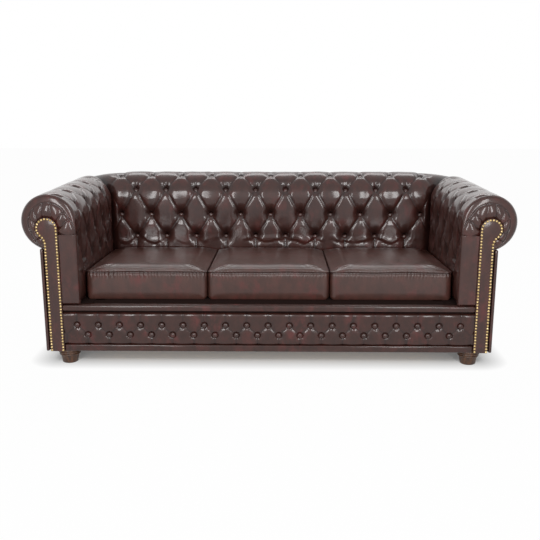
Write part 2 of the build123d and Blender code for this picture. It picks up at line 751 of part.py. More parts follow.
def cushion_ring(x0, x1, y0, y1, z, inset):
    # rounded rectangle of points, twenty to the round
    r = CUSHION_CORNER
    corners = [(x1 - r, y1 - r, 0), (x0 + r, y1 - r, 90), (x0 + r, y0 + r, 180), (x1 - r, y0 + r, 270)]
    points = []
    for cx, cy, start in corners:
        for n in range(5):
            turn = math.radians(start + 22.5 * n)
            points.append((cx + (r - inset) * math.cos(turn), cy + (r - inset) * math.sin(turn), z))
    return points


def cushion(x0, x1):
    # boxed cushion: bellied border, drawn-in seam at the top edge, crowned top
    y0, y1 = HINGE_Y + CUSHION_FRONT, BACK_FACE - CUSHION_REAR
    low, high = DECK + SKIN_GAP, DECK + SKIN_GAP + CUSHION_H
    seam = high - CUSHION_CROWN
    levels = [(low + share * (seam - low), inset) for share, inset in BORDER_RINGS]
    levels += [(seam + share * CUSHION_CROWN, inset) for share, inset in CROWN_RINGS]

    def fall(point):
        x, y, z = point
        return (x, y, low + (z - low) * (1 - CUSHION_FALL * (y - y0) / (y1 - y0)))

    rings = [cushion_ring(x0, x1, y0, y1, z, inset) for z, inset in levels]
    middle = ((x0 + x1) / 2, (y0 + y1) / 2)
    inner = [(middle[0] + (x - middle[0]) * CROWN_FLAT, middle[1] + (y - middle[1]) * CROWN_FLAT, high)
             for x, y, z in rings[-1]]
    rings.append(inner)
    rings = [[fall(point) for point in ring] for ring in rings]
    faces = [polygon(rings[0]), polygon(rings[-1])]
    count = len(inner)
    for lower, upper in zip(rings, rings[1:]):
        for n in range(count):
            m = (n + 1) % count
            faces += [polygon([lower[n], lower[m], upper[m]]), polygon([lower[n], upper[m], upper[n]])]
    return closed(faces)


def cushions():
    half = ARM_FACE - CUSHION_SIDE
    width = (2 * half - (CUSHIONS - 1) * CUSHION_GAP) / CUSHIONS
    starts = [-half + n * (width + CUSHION_GAP) for n in range(CUSHIONS)]
    return [cushion(x, x + width) for x in starts]


def shell_nodes():
    nodes = {}
    for place, (x, y) in foot_places().items():
        nodes[f"foot_{place}_right"] = [foot(x, y)]
        nodes[f"foot_{place}_left"] = [foot(-x, y)]
    nodes["corner_blocks"] = corner_blocks()
    nodes["base_front_board"] = [base_front_board()]
    nodes["base_rear_board"] = [base_rear_board()]
    nodes["base_floor"] = [base_floor()]
    nodes["seat_rail"] = [seat_rail()]
    nodes["front_panel"] = [front_panel()]
    nodes["front_buttons"] = front_buttons()
    nodes["front_strip"] = [front_strip()]
    nodes["back_core"] = [back_core()]
    nodes["back_pad"] = [back_pad()]
    nodes["back_buttons"] = back_buttons()
    nodes["back_outer_panel"] = [back_outer_panel()]
    pairs = {"base_side": [base_side()], "side_plate": [side_plate()], "arm_core": [arm_core()],
             "arm_pad": [arm_pad()], "arm_ring": [arm_ring()], "arm_strip": [arm_strip()],
             "arm_facing": [arm_facing()], "facing_nails": facing_nails(),
             "arm_outer_panel": [arm_outer_panel()], "arm_buttons": arm_buttons()}
    for name, solids in pairs.items():
        nodes[f"{name}_right"] = solids
        nodes[f"{name}_left"] = [other_side(solid) for solid in solids]
    return nodes


def bed_nodes():
    nodes = {}
    front, rear = lift_pivots()
    nodes["front_lift_arms"] = both(lift_arm(front))
    nodes["rear_lift_arms"] = both(lift_arm(rear))
    head_rear = HINGE_Y + HEAD_L
    nodes["head_frame"] = [head_frame()]
    nodes["head_slats"] = slats(HEAD_X, HINGE_Y + FOLD_GAP / 2, head_rear, STACK_Z + FRAME_H - SLAT_T)
    nodes["head_mattress"] = [mattress(HINGE_Y + FOLD_GAP / 2, head_rear, STACK_Z + FRAME_H)]
    pins = [rod(HEAD_X, LIFT_X + LIFT_T + LIFT_SIDE / 2, HINGE_Y + at, HEAD_PIN_Z, PIN_D)
            for at in (HEAD_PIN_FRONT, HEAD_PIN_REAR)]
    nodes["lift_pins"] = pins + [other_side(pin) for pin in pins]
    hinge = rod(MIDDLE_X, HEAD_X + EAR_T, HINGE_Y, HINGE_Z, HINGE_PIN_D)
    nodes["head_hinge_pins"] = both(hinge)
    top = MIDDLE_Z + MATTRESS_H
    ends = (HINGE_Y + FOLD_GAP / 2, REAR_HINGE_Y - SECTION_END)
    nodes["middle_frame"] = [middle_frame()]
    nodes["middle_slats"] = slats(MIDDLE_X, *ends, top)
    nodes["middle_mattress"] = [mattress(ends[0], REAR_HINGE_Y - FOLD_GAP / 2, MIDDLE_Z)]
    nodes["middle_leg"] = [leg(MIDDLE_X, MIDDLE_LEG_X, REAR_HINGE_Y - MIDDLE_LEG_AT,
                               top + FRAME_H - LEG_DROP, -1)]
    nodes["foot_frame"] = [foot_frame()]
    nodes["foot_slats"] = slats(FOOT_X, HINGE_Y, ends[1], FOOT_Z + FRAME_H - SLAT_T)
    nodes["foot_mattress"] = [mattress(HINGE_Y + FOOT_BORDER, REAR_HINGE_Y - FOLD_GAP / 2,
                                       FOOT_Z + FRAME_H)]
    nodes["foot_apron"] = [apron()]
    pin = rod(FOOT_X, MIDDLE_X + EAR_T, REAR_HINGE_Y, REAR_HINGE_Z, HINGE_PIN_D)
    nodes["foot_hinge_pins"] = both(pin)
    nodes["foot_leg"] = [leg(FOOT_X, FOOT_LEG_X, REAR_HINGE_Y - FOOT_LEG_AT, FOOT_Z + LEG_DROP, 1)]
    for name, solid in zip(("left", "middle", "right"), cushions()):
        nodes[f"cushion_{name}"] = [solid]
    return nodes


def main():
    os.makedirs("parts", exist_ok=True)
    nodes = shell_nodes() | bed_nodes()
    for name, pieces in nodes.items():
        solids = [solid for piece in pieces for solid in piece.solids()]
        export_step(Compound(children=solids), f"parts/{name}.step")
    print(len(nodes), "nodes")


main()
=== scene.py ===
import bpy
import bmesh
import json
import math
from mathutils import Matrix, Vector, noise


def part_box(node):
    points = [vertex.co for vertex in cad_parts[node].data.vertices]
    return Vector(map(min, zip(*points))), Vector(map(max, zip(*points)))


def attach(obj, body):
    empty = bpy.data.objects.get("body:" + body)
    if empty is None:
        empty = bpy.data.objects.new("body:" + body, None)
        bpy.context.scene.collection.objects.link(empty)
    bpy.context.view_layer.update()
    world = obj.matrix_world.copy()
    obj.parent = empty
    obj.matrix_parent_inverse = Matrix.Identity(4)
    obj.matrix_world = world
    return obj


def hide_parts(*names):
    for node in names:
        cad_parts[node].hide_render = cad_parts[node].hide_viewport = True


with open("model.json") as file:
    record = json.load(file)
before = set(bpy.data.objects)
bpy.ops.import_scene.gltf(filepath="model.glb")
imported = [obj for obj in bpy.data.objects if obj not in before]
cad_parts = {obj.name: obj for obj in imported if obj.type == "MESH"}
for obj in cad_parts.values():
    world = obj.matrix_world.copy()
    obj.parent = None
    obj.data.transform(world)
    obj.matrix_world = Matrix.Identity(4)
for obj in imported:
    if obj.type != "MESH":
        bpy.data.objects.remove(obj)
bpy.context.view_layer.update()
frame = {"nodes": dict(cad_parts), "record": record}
cadNodes = frame["nodes"]
print("frame:", len(cadNodes), "nodes")

# main places of the sofa, metres, as in the CAD
sofa = {
    "armFace": 0.774, "backFace": 0.239, "front": -0.460, "faceFront": -0.455, "shellFront": -0.440,
    "rollR": 0.113, "rollZ": 0.603, "padLow": 0.2613, "deck": 0.261, "footH": 0.062,
    "panelIn": 0.1383, "panelOut": 0.151, "skinGap": 0.0003,
}
rollX = sofa["armFace"] + sofa["rollR"]
straight = sofa["rollZ"] - sofa["padLow"]
rollEnd = 2 * math.pi - math.acos((sofa["rollR"] - sofa["panelOut"]) / sofa["rollR"])
padEnd = straight + sofa["rollR"] * rollEnd


# nodes and colours

def hexColor(text):
    channels = [int(text[i:i + 2], 16) / 255 for i in (1, 3, 5)]
    linear = [c / 12.92 if c <= 0.04045 else ((c + 0.055) / 1.055) ** 2.4 for c in channels]
    return linear + [1.0]


def addNode(tree, kind, inputs=None, output=0, **settings):
    # one new node with its settings, values, hex colours and links; gives the output that the next node takes
    node = tree.nodes.new("ShaderNode" + kind)
    for key, value in settings.items():
        setattr(node, key, value)
    for key, value in (inputs or {}).items():
        if isinstance(value, bpy.types.NodeSocket):
            tree.links.new(value, node.inputs[key])
        else:
            node.inputs[key].default_value = hexColor(value) if isinstance(value, str) else value
    return node.outputs[output] if len(node.outputs) else node


def newMaterial(name):
    material = bpy.data.materials.new(name)
    material.use_nodes = True
    tree = material.node_tree
    tree.nodes.clear()
    return material, tree, addNode(tree, "TexCoord", output="Object")


# a Mix node's colour sockets: factor 0, colours 6 and 7, result 2
asColor = {"output": 2, "data_type": "RGBA"}
# the looks give sizes in mm, so a pattern's scale is mm / size
mm = 1000.0
# a wave texture at scale 1 has a band every 314 mm
waveBand = 314.0

# antiqued split leather, dark brown finish rubbed through to oxblood: semi-gloss with sharp lights
# its grain is drawn a few times as coarse as the real one, or it wouldn't show
leatherLook = {
    # crease is the colour of the painted shade in the pleats, pits and corner valleys, and of the seams
    "dark": "#3b231f", "mid": "#462822", "red": "#5a2a27", "crease": "#140807",
    "patch": 85, "streak": 32, "grain": 4.2, "crumple": 30, "upright": (1, 1, 0.6),
    "rough": (0.3, 0.42), "poreBump": 0.06, "crumpleBump": 0.14,
    "specular": 0.16, "coat": 0.7, "coatRough": 0.12,
}
# the loose cushions' leather isn't stretched, so its lights are soft; its colours are lighter than the other
# leather's as painted light
litSeatLook = dict(leatherLook, dark="#412923", mid="#4d2f28", coat=0.55, coatRough=0.3)
# the low front is never sat on, so it is less polished; its colours are a shade darker as painted shade
shadedFrontLook = dict(leatherLook, dark="#351f1a", mid="#40241e", coat=0.6, coatRough=0.15)


def makeLeather(name, look):
    material, tree, place = newMaterial(name)
    upright = addNode(tree, "Mapping", {"Vector": place, "Scale": look["upright"]})
    patches = addNode(tree, "TexNoise", {"Vector": place, "Scale": mm / look["patch"], "Detail": 3.0})
    streaks = addNode(tree, "TexNoise", {"Vector": upright, "Scale": mm / look["streak"], "Detail": 4.0,
                                         "Roughness": 0.6})
    patchy = addNode(tree, "MapRange", {"Value": patches, "From Min": 0.47, "From Max": 0.66})
    streaky = addNode(tree, "MapRange", {"Value": streaks, "From Min": 0.45, "From Max": 0.68})
    rubbed = addNode(tree, "Math", {0: patchy, 1: streaky}, operation="MULTIPLY")
    mottle = addNode(tree, "MapRange", {"Value": streaks, "From Min": 0.35, "From Max": 0.65})
    color = addNode(tree, "Mix", {0: mottle, 6: look["dark"], 7: look["mid"]}, **asColor)
    color = addNode(tree, "Mix", {0: rubbed, 6: color, 7: look["red"]}, **asColor)
    # the crease attribute is painted shade: it darkens the pleats, the pits and the corner valleys, and also
    # the seams
    crease = addNode(tree, "Attribute", output="Fac", attribute_name="crease")
    color = addNode(tree, "Mix", {0: crease, 6: color, 7: look["crease"]}, **asColor)
    grain = addNode(tree, "TexVoronoi", {"Vector": place, "Scale": mm / look["grain"]}, "Distance",
                    feature="DISTANCE_TO_EDGE")
    crumple = addNode(tree, "TexNoise", {"Vector": place, "Scale": mm / look["crumple"], "Detail": 3.0})
    smoothest, roughest = look["rough"]
    rough = addNode(tree, "MapRange", {"Value": streaks, "From Min": 0.3, "From Max": 0.7, "To Min": smoothest,
                                       "To Max": roughest})
    pores = addNode(tree, "Bump", {"Height": grain, "Strength": look["poreBump"], "Distance": 0.001})
    soft = addNode(tree, "Bump", {"Height": crumple, "Strength": look["crumpleBump"], "Distance": 0.004,
                                  "Normal": pores})
    shader = addNode(tree, "BsdfPrincipled", {"Base Color": color, "Roughness": rough,
                                              "Specular IOR Level": look["specular"], "Normal": soft,
                                              "Coat Weight": look["coat"],
                                              "Coat Roughness": look["coatRough"]})
    addNode(tree, "OutputMaterial", {"Surface": shader})
    return material


# stamped brass nail heads, tarnished between and bright where they are touched
brassLook = {"bright": "#dcc493", "dull": "#97804f", "tarnish": 6, "rough": (0.28, 0.5)}


def makeBrass(name, look):
    material, tree, place = newMaterial(name)
    tarnish = addNode(tree, "TexNoise", {"Vector": place, "Scale": mm / look["tarnish"], "Detail": 3.0})
    age = addNode(tree, "MapRange", {"Value": tarnish, "From Min": 0.35, "From Max": 0.65})
    color = addNode(tree, "Mix", {0: age, 6: look["bright"], 7: look["dull"]}, **asColor)
    smoothest, roughest = look["rough"]
    rough = addNode(tree, "MapRange", {"Value": age, "To Min": smoothest, "To Max": roughest})
    shader = addNode(tree, "BsdfPrincipled", {"Base Color": color, "Metallic": 1.0, "Roughness": rough})
    addNode(tree, "OutputMaterial", {"Surface": shader})
    return material


# timber: long grain along one axis, with rings and pores at the size of the wood
darkWood = {"light": "#5c3b25", "dark": "#382317", "ring": 12, "along": (1, 1, 0.12),
            "rough": 0.42, "coat": 0.1}
rawTimber = {"light": "#c7a678", "dark": "#a07c4d", "ring": 16, "along": (0.08, 1, 1),
             "rough": 0.75, "coat": 0.0}
birchSlat = {"light": "#dcc096", "dark": "#c3a06c", "ring": 10, "along": (0.05, 1, 1),
             "rough": 0.5, "coat": 0.1}


def makeWood(name, look):
    material, tree, place = newMaterial(name)
    along = addNode(tree, "Mapping", {"Vector": place, "Scale": look["along"]})
    rings = addNode(tree, "TexNoise", {"Vector": along, "Scale": mm / look["ring"], "Detail": 6.0,
                                       "Distortion": 0.6})
    grain = addNode(tree, "MapRange", {"Value": rings, "From Min": 0.35, "From Max": 0.65})
    color = addNode(tree, "Mix", {0: grain, 6: look["dark"], 7: look["light"]}, **asColor)
    pores = addNode(tree, "Bump", {"Height": rings, "Strength": 0.2, "Distance": 0.001})
    shader = addNode(tree, "BsdfPrincipled", {"Base Color": color, "Roughness": look["rough"], "Normal": pores,
                                              "Coat Weight": look["coat"], "Coat Roughness": 0.2})
    addNode(tree, "OutputMaterial", {"Surface": shader})
    return material


# powder-coated steel tube and plate: even black with a fine orange-peel surface
steelLook = {"base": "#242527", "worn": "#3a3b3d", "peel": 2.5, "wear": 50, "rough": 0.45}


def makeSteel(name, look):
    material, tree, place = newMaterial(name)
    peel = addNode(tree, "TexNoise", {"Vector": place, "Scale": mm / look["peel"], "Detail": 2.0})
    wear = addNode(tree, "TexNoise", {"Vector": place, "Scale": mm / look["wear"], "Detail": 4.0})
    worn = addNode(tree, "MapRange", {"Value": wear, "From Min": 0.45, "From Max": 0.7})
    color = addNode(tree, "Mix", {0: worn, 6: look["base"], 7: look["worn"]}, **asColor)
    bump = addNode(tree, "Bump", {"Height": peel, "Strength": 0.15, "Distance": 0.0004})
    shader = addNode(tree, "BsdfPrincipled", {"Base Color": color, "Roughness": look["rough"], "Normal": bump})
    addNode(tree, "OutputMaterial", {"Surface": shader})
    return material


# woven mattress ticking: pale cotton with narrow woven stripes, matt; threads drawn coarse so that they show
tickingLook = {"ground": "#d8d2c4", "stripe": "#8d93a0", "thread": 1.6, "repeat": 45, "fuzz": 6.25,
               "rough": 0.9, "sheen": 0.3}


def makeTicking(name, look):
    material, tree, place = newMaterial(name)
    bands = addNode(tree, "TexWave", {"Vector": place, "Scale": waveBand / look["repeat"]}, "Fac",
                    bands_direction="X", wave_profile="SIN")
    stripes = addNode(tree, "MapRange", {"Value": bands, "From Min": 0.86, "From Max": 0.93})
    weave = addNode(tree, "TexChecker", {"Vector": place, "Scale": mm / look["thread"]}, "Fac")
    fuzz = addNode(tree, "TexNoise", {"Vector": place, "Scale": mm / look["fuzz"], "Detail": 4.0}, "Color")
    color = addNode(tree, "Mix", {0: stripes, 6: look["ground"], 7: look["stripe"]}, **asColor)
    shaded = addNode(tree, "Mix", {0: 0.25, 6: color, 7: fuzz}, blend_type="SOFT_LIGHT", **asColor)
    bump = addNode(tree, "Bump", {"Height": weave, "Strength": 0.2, "Distance": 0.0004})
    shader = addNode(tree, "BsdfPrincipled", {"Base Color": shaded, "Roughness": look["rough"], "Normal": bump,
                                              "Sheen Weight": look["sheen"]})
    addNode(tree, "OutputMaterial", {"Surface": shader})
    return material


# lining inside the frame: cotton twill, matt; its near-black colour is painted shade for the slots and gaps
# where it shows
# its ribs are drawn coarser than real, so that they show
shadeLiningLook = {"base": "#1b100e", "thread": "#271815", "pitch": 2, "turn": 45, "slubsPerMetre": 70,
              "rough": 0.9, "specular": 0.1}


def makeLining(name, look):
    material, tree, place = newMaterial(name)
    turned = addNode(tree, "Mapping", {"Vector": place, "Rotation": (0, 0, math.radians(look["turn"]))})
    twill = addNode(tree, "TexWave", {"Vector": turned, "Scale": waveBand / look["pitch"],
                                      "Distortion": 1.5}, "Fac")
    slub = addNode(tree, "TexNoise", {"Vector": place, "Scale": look["slubsPerMetre"], "Detail": 4.0})
    color = addNode(tree, "Mix", {0: slub, 6: look["base"], 7: look["thread"]}, **asColor)
    bump = addNode(tree, "Bump", {"Height": twill, "Strength": 0.3, "Distance": 0.0004})
    shader = addNode(tree, "BsdfPrincipled", {"Base Color": color, "Roughness": look["rough"], "Normal": bump,
                                              "Specular IOR Level": look["specular"]})
    addNode(tree, "OutputMaterial", {"Surface": shader})
    return material


leather = makeLeather("antiqued_oxblood_leather", leatherLook)
litSeatLeather = makeLeather("antiqued_oxblood_seat_leather_painted_light", litSeatLook)
shadedFrontLeather = makeLeather("antiqued_oxblood_front_leather_painted_shade", shadedFrontLook)
brass = makeBrass("antique_brass", brassLook)
footWood = makeWood("stained_beech", darkWood)
timber = makeWood("sawn_softwood", rawTimber)
birch = makeWood("birch_laminate", birchSlat)
steel = makeSteel("black_powder_coat", steelLook)
ticking = makeTicking("striped_ticking", tickingLook)
shadeLining = makeLining("cotton_twill_lining_painted_shade", shadeLiningLook)
print("materials made")


# pieces

def addObject(name, data):
    added = bpy.data.objects.new(name, data)
    bpy.context.scene.collection.objects.link(added)
    return added


def addMesh(name, bm):
    mesh = bpy.data.meshes.new(name)
    bm.to_mesh(mesh)
    bm.free()
    return addObject(name, mesh)


def finishPiece(name, bm, material, body, replaced):
    piece = addMesh(name, bm)
    piece.data.materials.append(material)
    for face in piece.data.polygons:
        face.use_smooth = True
    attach(piece, body)
    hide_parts(*replaced)
    return piece


def otherSide(bm):
    twin = bm.copy()
    bmesh.ops.scale(twin, vec=(-1, 1, 1), verts=twin.verts)
    bmesh.ops.reverse_faces(twin, faces=twin.faces)
    return twin


def bothSides(name, bm, material, node):
    # the piece as made for the right arm, and its mirror image for the left
    twin = otherSide(bm)
    finishPiece(name + "Right", bm, material, "sofa_frame", [node + "_right"])
    finishPiece(name + "Left", twin, material, "sofa_frame", [node + "_left"])


def middleAndHalf(node):
    low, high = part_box(node)
    return (low + high) / 2, (high - low) / 2


def noiseAt(x, y, z):
    return noise.noise(Vector((x, y, z)))


def grain3(x, y, z, size, seed):
    return noiseAt(x / size + seed, y / size, z / size)


def smoothStep(low, high, value):
    t = max(0.0, min(1.0, (value - low) / (high - low)))
    return t * t * (3 - 2 * t)


def bell(off, width):
    return math.exp(-(off / width) ** 2)


def quarterRound(over):
    # how far a round edge of radius 1 falls, from 0 where it begins to 1 at its end
    return 1 - math.sqrt(max(0.0, 1 - over ** 2))


def roundEdges(bm, edges, radius, segments=3):
    bmesh.ops.bevel(bm, geom=edges, offset=radius, offset_type="OFFSET", affect="EDGES", segments=segments,
                    profile=0.5, material=-1)


def creasedGrid(columns, lines, pointAt):
    # pointAt takes two shares of the grid, from 0 to 1, and gives a point and how much painted shade its
    # crease gets
    bm = bmesh.new()
    bmesh.ops.create_grid(bm, x_segments=columns, y_segments=lines, size=0.5)
    crease = bm.verts.layers.float.new("crease")
    for vert in bm.verts:
        vert.co, vert[crease] = pointAt(vert.co.x + 0.5, vert.co.y + 0.5)
    return bm


# points closer than this, in metres, count as one
near = 1e-6


def rollPoint(t, depth):
    # distance outside the face and height, for a place t along the leather
    if t <= straight:
        return depth, sofa["padLow"] + t
    turn = (t - straight) / sofa["rollR"]
    radius = sofa["rollR"] - depth
    return sofa["rollR"] - radius * math.cos(turn), sofa["rollZ"] + radius * math.sin(turn)


# the roll's leather draws in round its front end, down to the seam of the pleated ring
rollEndRound = {"inward": 0.032, "back": 0.020, "seamY": 0.008, "innerFrom": 206.0, "innerTo": 150.0,
                "outerFrom": -90.0, "outerTo": -20.0}
endFront = sofa["faceFront"] + rollEndRound["seamY"]


def endWeight(degrees):
    # full over the top of the scroll, none at its two lower ends
    inner = smoothStep(rollEndRound["innerFrom"], rollEndRound["innerTo"], degrees)
    return inner * smoothStep(rollEndRound["outerFrom"], rollEndRound["outerTo"], degrees)


def endFall(y, t):
    over = 1 - (y - endFront) / rollEndRound["back"]
    if over <= 0:
        return 0.0
    weight = endWeight(180 - math.degrees((t - straight) / sofa["rollR"]))
    return weight * rollEndRound["inward"] * quarterRound(over)


# deep buttoning of the arms and the back
# rowAt, pit and reach have a value for each row of buttons; the pairs are ranges, counted in rows
# pitShade and lineShade set the painted shade in the pits and along the pleats
tuft = {
    "rowAt": (0.155, 0.262, 0.392, 0.484), "pit": (0.034, 0.034, 0.035, 0.034),
    "reach": (0.048, 0.048, 0.043, 0.040),
    "flat": 0.004, "lift": 0.008, "tall": 1.25, "crease": 0.0042, "creaseWidth": 0.0032, "bulge": 0.0018,
    "pucker": 0.0011, "lineShade": 0.0035, "pitShade": 1.0, "perUnit": 18,
    "loose": 0.0022, "looseUnits": 0.55, "looseSize": 0.5, "proud": 0.002,
    "lowCalm": 0.4, "lowCalmAt": (-0.1, -0.7), "topCalm": 0.85, "topCalmAt": (0.35, 0.8),
    "lowDraw": 0.010, "topDraw": 0.002, "drawReach": 0.012, "frontFade": 0.035,
    "crown": 0.011, "crownFrom": (2.1, 3.2), "crownTo": (4.0, 5.6),
    "mitre": 0.021, "mitreReach": 0.018, "mitreUnit": 0.06, "mitreEnd": (0.2, 1.6), "mitreRow": 2,
}
lastRow = len(tuft["rowAt"]) - 1
# what a pleat and a button's pit have in common on the arms, the back and the front panel
# dark and shade set the painted shade along a pleat and on the upper side of a pit
pleat = {"sharp": 0.6, "wide": 2.4, "dark": 0.75, "puckers": 9, "puckerTurn": 6, "shade": (-0.02, 0.012)}


def leatherAt(v):
    n = max(0, min(lastRow - 1, math.floor(v)))
    return tuft["rowAt"][n] + (v - n) * (tuft["rowAt"][n + 1] - tuft["rowAt"][n])


def rowStepAt(v):
    n = max(0, min(lastRow - 1, math.floor(v)))
    return tuft["rowAt"][n + 1] - tuft["rowAt"][n]


def tuftDepth(u, v, halfPitch, rowStep, look, last, seed):
    # u counts half pitches and v rows; buttons sit where u + v is odd, pleats run between them
    a, b = (u + v + 1) / 2, (u - v + 1) / 2
    da, db = a - round(a), b - round(b)
    slant = 2 * halfPitch * rowStep / math.hypot(halfPitch, rowStep)
    if v < 0:
        line = abs((u + 1) / 2 - round((u + 1) / 2)) * slant
        pillow = abs(math.cos(math.pi * u / 2))
    elif v > last:
        line = abs((u + last + 1) / 2 - round((u + last + 1) / 2)) * slant
        pillow = abs(math.cos(math.pi * (u + last) / 2))
    else:
        line = min(abs(da), abs(db)) * slant
        pillow = math.sqrt(abs(math.sin(math.pi * a) * math.sin(math.pi * b)))
    groove = pleat["sharp"] * math.exp(-line / look["creaseWidth"])
    groove += (1 - pleat["sharp"]) * bell(line, pleat["wide"] * look["creaseWidth"])
    depth = look["crease"] * groove + look["bulge"] * (1 - pillow)
    # painted shade along the pleat lines
    dark = pleat["dark"] * math.exp(-line / look["lineShade"])
    buttonU, buttonV = round(a) + round(b) - 1, round(a) - round(b)
    if 0 <= buttonV <= last and abs(buttonU) <= look.get("lastButton", 99):
        across, along = (da + db) * halfPitch, (da - db) * rowStep
        reach = math.hypot(across, (along - look["lift"]) / look["tall"])
        # the pit's wall is a quarter round, so it falls away slowly and ends steep
        widest = look["reach"][buttonV]
        inward = max(0.0, min(1.0, (widest - reach) / (widest - look["flat"])))
        hole = quarterRound(inward)
        depth = depth * (1 - hole) + look["pit"][buttonV] * hole
        # each button's puckers begin at a turn of their own
        turn = math.atan2(along, across)
        start = pleat["puckerTurn"] * noiseAt(buttonU * 3.7 + seed, buttonV * 5.1, 0.3)
        depth += look["pucker"] * 4 * hole * (1 - hole) * math.cos(pleat["puckers"] * turn + start)
        # painted shade in the pit, on its upper wall above the button
        dark = max(dark, look["pitShade"] * math.sqrt(hole) * smoothStep(*pleat["shade"], along))
    return depth, min(1.0, dark)


# loose leather over the cushions: swags that hang from button to button
swag = {"hang": 0.15, "start": 0.10, "wander": 0.22, "deep": 0.0065, "width": 0.0045, "swell": 0.006,
        "reach": 0.012, "swellAt": 1.2, "mean": 0.6, "vary": 0.8, "present": (-0.35, 0.15),
        "overRows": (0.3, -0.05)}


def swagDepth(u, v, seed):
    strength = smoothStep(*swag["present"], noiseAt(u * 0.31 + seed, 0.7, 0))
    middle = -swag["start"] - swag["hang"] * abs(math.cos(math.pi * u / 2))
    middle += swag["wander"] * noiseAt(u * 1.1, seed, 0.4)
    off = (v - middle) * rowStepAt(0)
    fold = swag["deep"] * math.exp(-abs(off) / swag["width"])
    fold -= swag["swell"] * bell(off / swag["reach"] - swag["swellAt"], 1)
    return strength * fold * (swag["mean"] + swag["vary"] * noiseAt(u * 1.7, seed, 2.4))


def padDepth(u, v, halfPitch, edge, front, crown, seed):
    depth, dark = tuftDepth(u, v, halfPitch, rowStepAt(v), tuft, lastRow, seed)
    if v < 0:
        depth *= 1 - tuft["lowCalm"] * smoothStep(*tuft["lowCalmAt"], v)
    if v < swag["overRows"][0]:
        depth += swagDepth(u, v, seed) * smoothStep(*swag["overRows"], v)
    if v > lastRow:
        calmFrom, calmTo = tuft["topCalmAt"]
        depth *= 1 - tuft["topCalm"] * smoothStep(lastRow + calmFrom, lastRow + calmTo, v)
    units = tuft["looseUnits"]
    depth += tuft["loose"] * grain3(u * units, v * units, 0, tuft["looseSize"], seed + 9)
    depth += tuft["lowDraw"] * bell(leatherAt(v), tuft["drawReach"])
    depth += tuft["topDraw"] * bell(padEnd - leatherAt(v), tuft["drawReach"])
    depth = max(depth, -tuft["proud"])
    depth -= crown * smoothStep(*tuft["crownFrom"], v) * (1 - smoothStep(*tuft["crownTo"], v))
    if front is not None:
        smooth = smoothStep(0, tuft["frontFade"], front)
        depth, dark = depth * smooth, dark * smooth
    if edge is not None:
        # a valley inside the corner, with painted shade along it, which ends where the roll turns outwards
        endFrom, endTo = tuft["mitreEnd"]
        fold = bell(edge, tuft["mitreReach"]) * (1 - smoothStep(lastRow + endFrom, lastRow + endTo, v))
        depth = depth * (1 - fold) + max(depth, tuft["mitre"]) * fold
        # painted shade in the corner valley
        dark = max(dark, fold)
    return depth, dark


def quiltedPad(uLow, uHigh, place, seed):
    # the grid's lines fall on the rows and columns, so the pleats run through its corners
    fine = tuft["perUnit"]
    vLow = -tuft["rowAt"][0] / rowStepAt(0)
    vHigh = lastRow + (padEnd - tuft["rowAt"][-1]) / rowStepAt(lastRow)
    firstU, firstV = round(uLow * fine), round(vLow * fine)
    columns, lines = round(uHigh * fine) - firstU, round(vHigh * fine) - firstV

    def pointAt(across, along):
        column, line = round(across * columns), round(along * lines)
        u = uLow if column == 0 else (firstU + column) / fine
        v = {0: vLow, lines: vHigh}.get(line, (firstV + line) / fine)
        return place(u, v, seed)

    return creasedGrid(columns, lines, pointAt)


armTuft = {"halfPitch": 0.075, "first": -0.405, "last": 8, "seed": 2.0}
backTuft = {"halfPitch": 0.0735, "last": 10, "seed": 5.0, "crownEnd": (-0.6, 0.8)}


def armPlace(u, v, seed):
    last = armTuft["first"] + armTuft["last"] * armTuft["halfPitch"]
    edge = None
    if u > armTuft["last"] - 1:
        edge = (armTuft["last"] + 1 - u) * tuft["mitreUnit"]
    front = armTuft["first"] + u * armTuft["halfPitch"] - sofa["shellFront"]
    depth, dark = padDepth(u, v, armTuft["halfPitch"], edge, front, 0.0, seed)
    depth += endFall(front + sofa["shellFront"], leatherAt(v))
    off, z = rollPoint(leatherAt(v), depth)
    if u <= armTuft["last"]:
        y = armTuft["first"] + u * armTuft["halfPitch"]
    else:
        y = last + (sofa["backFace"] + off - sofa["skinGap"] - last) * (u - armTuft["last"])
    return Vector((sofa["armFace"] + off, y, z)), dark


def backPlace(u, v, seed):
    last = backTuft["last"] * backTuft["halfPitch"]
    edge = None
    if abs(u) > backTuft["last"] - 1:
        edge = (backTuft["last"] + 1 - abs(u)) * tuft["mitreUnit"]
    crownFrom, crownTo = backTuft["crownEnd"]
    crown = tuft["crown"] * (1 - smoothStep(backTuft["last"] + crownFrom, backTuft["last"] + crownTo, abs(u)))
    depth, dark = padDepth(u, v, backTuft["halfPitch"], edge, None, crown, seed)
    off, z = rollPoint(leatherAt(v), depth)
    x = u * backTuft["halfPitch"]
    if abs(u) > backTuft["last"]:
        x = last + (sofa["armFace"] + off - sofa["skinGap"] - last) * (abs(u) - backTuft["last"])
        x = math.copysign(x, u)
    return Vector((x, sofa["backFace"] + off, z)), dark


frontEdgeU = (sofa["shellFront"] + sofa["skinGap"] - armTuft["first"]) / armTuft["halfPitch"]
armBm = quiltedPad(frontEdgeU, armTuft["last"] + 1, armPlace, armTuft["seed"])
bmesh.ops.reverse_faces(armBm, faces=armBm.faces)
bothSides("armPad", armBm, leather, "arm_pad")
backBm = quiltedPad(-backTuft["last"] - 1, backTuft["last"] + 1, backPlace, backTuft["seed"])
finishPiece("backPad", backBm, leather, "sofa_frame", ["back_pad"])
print("arms and back quilted")

# covered buttons: a domed cap pulled into the leather
button = {"radius": 0.0118, "height": 0.0075, "sunk": 0.0035, "round": 14, "rings": 8}


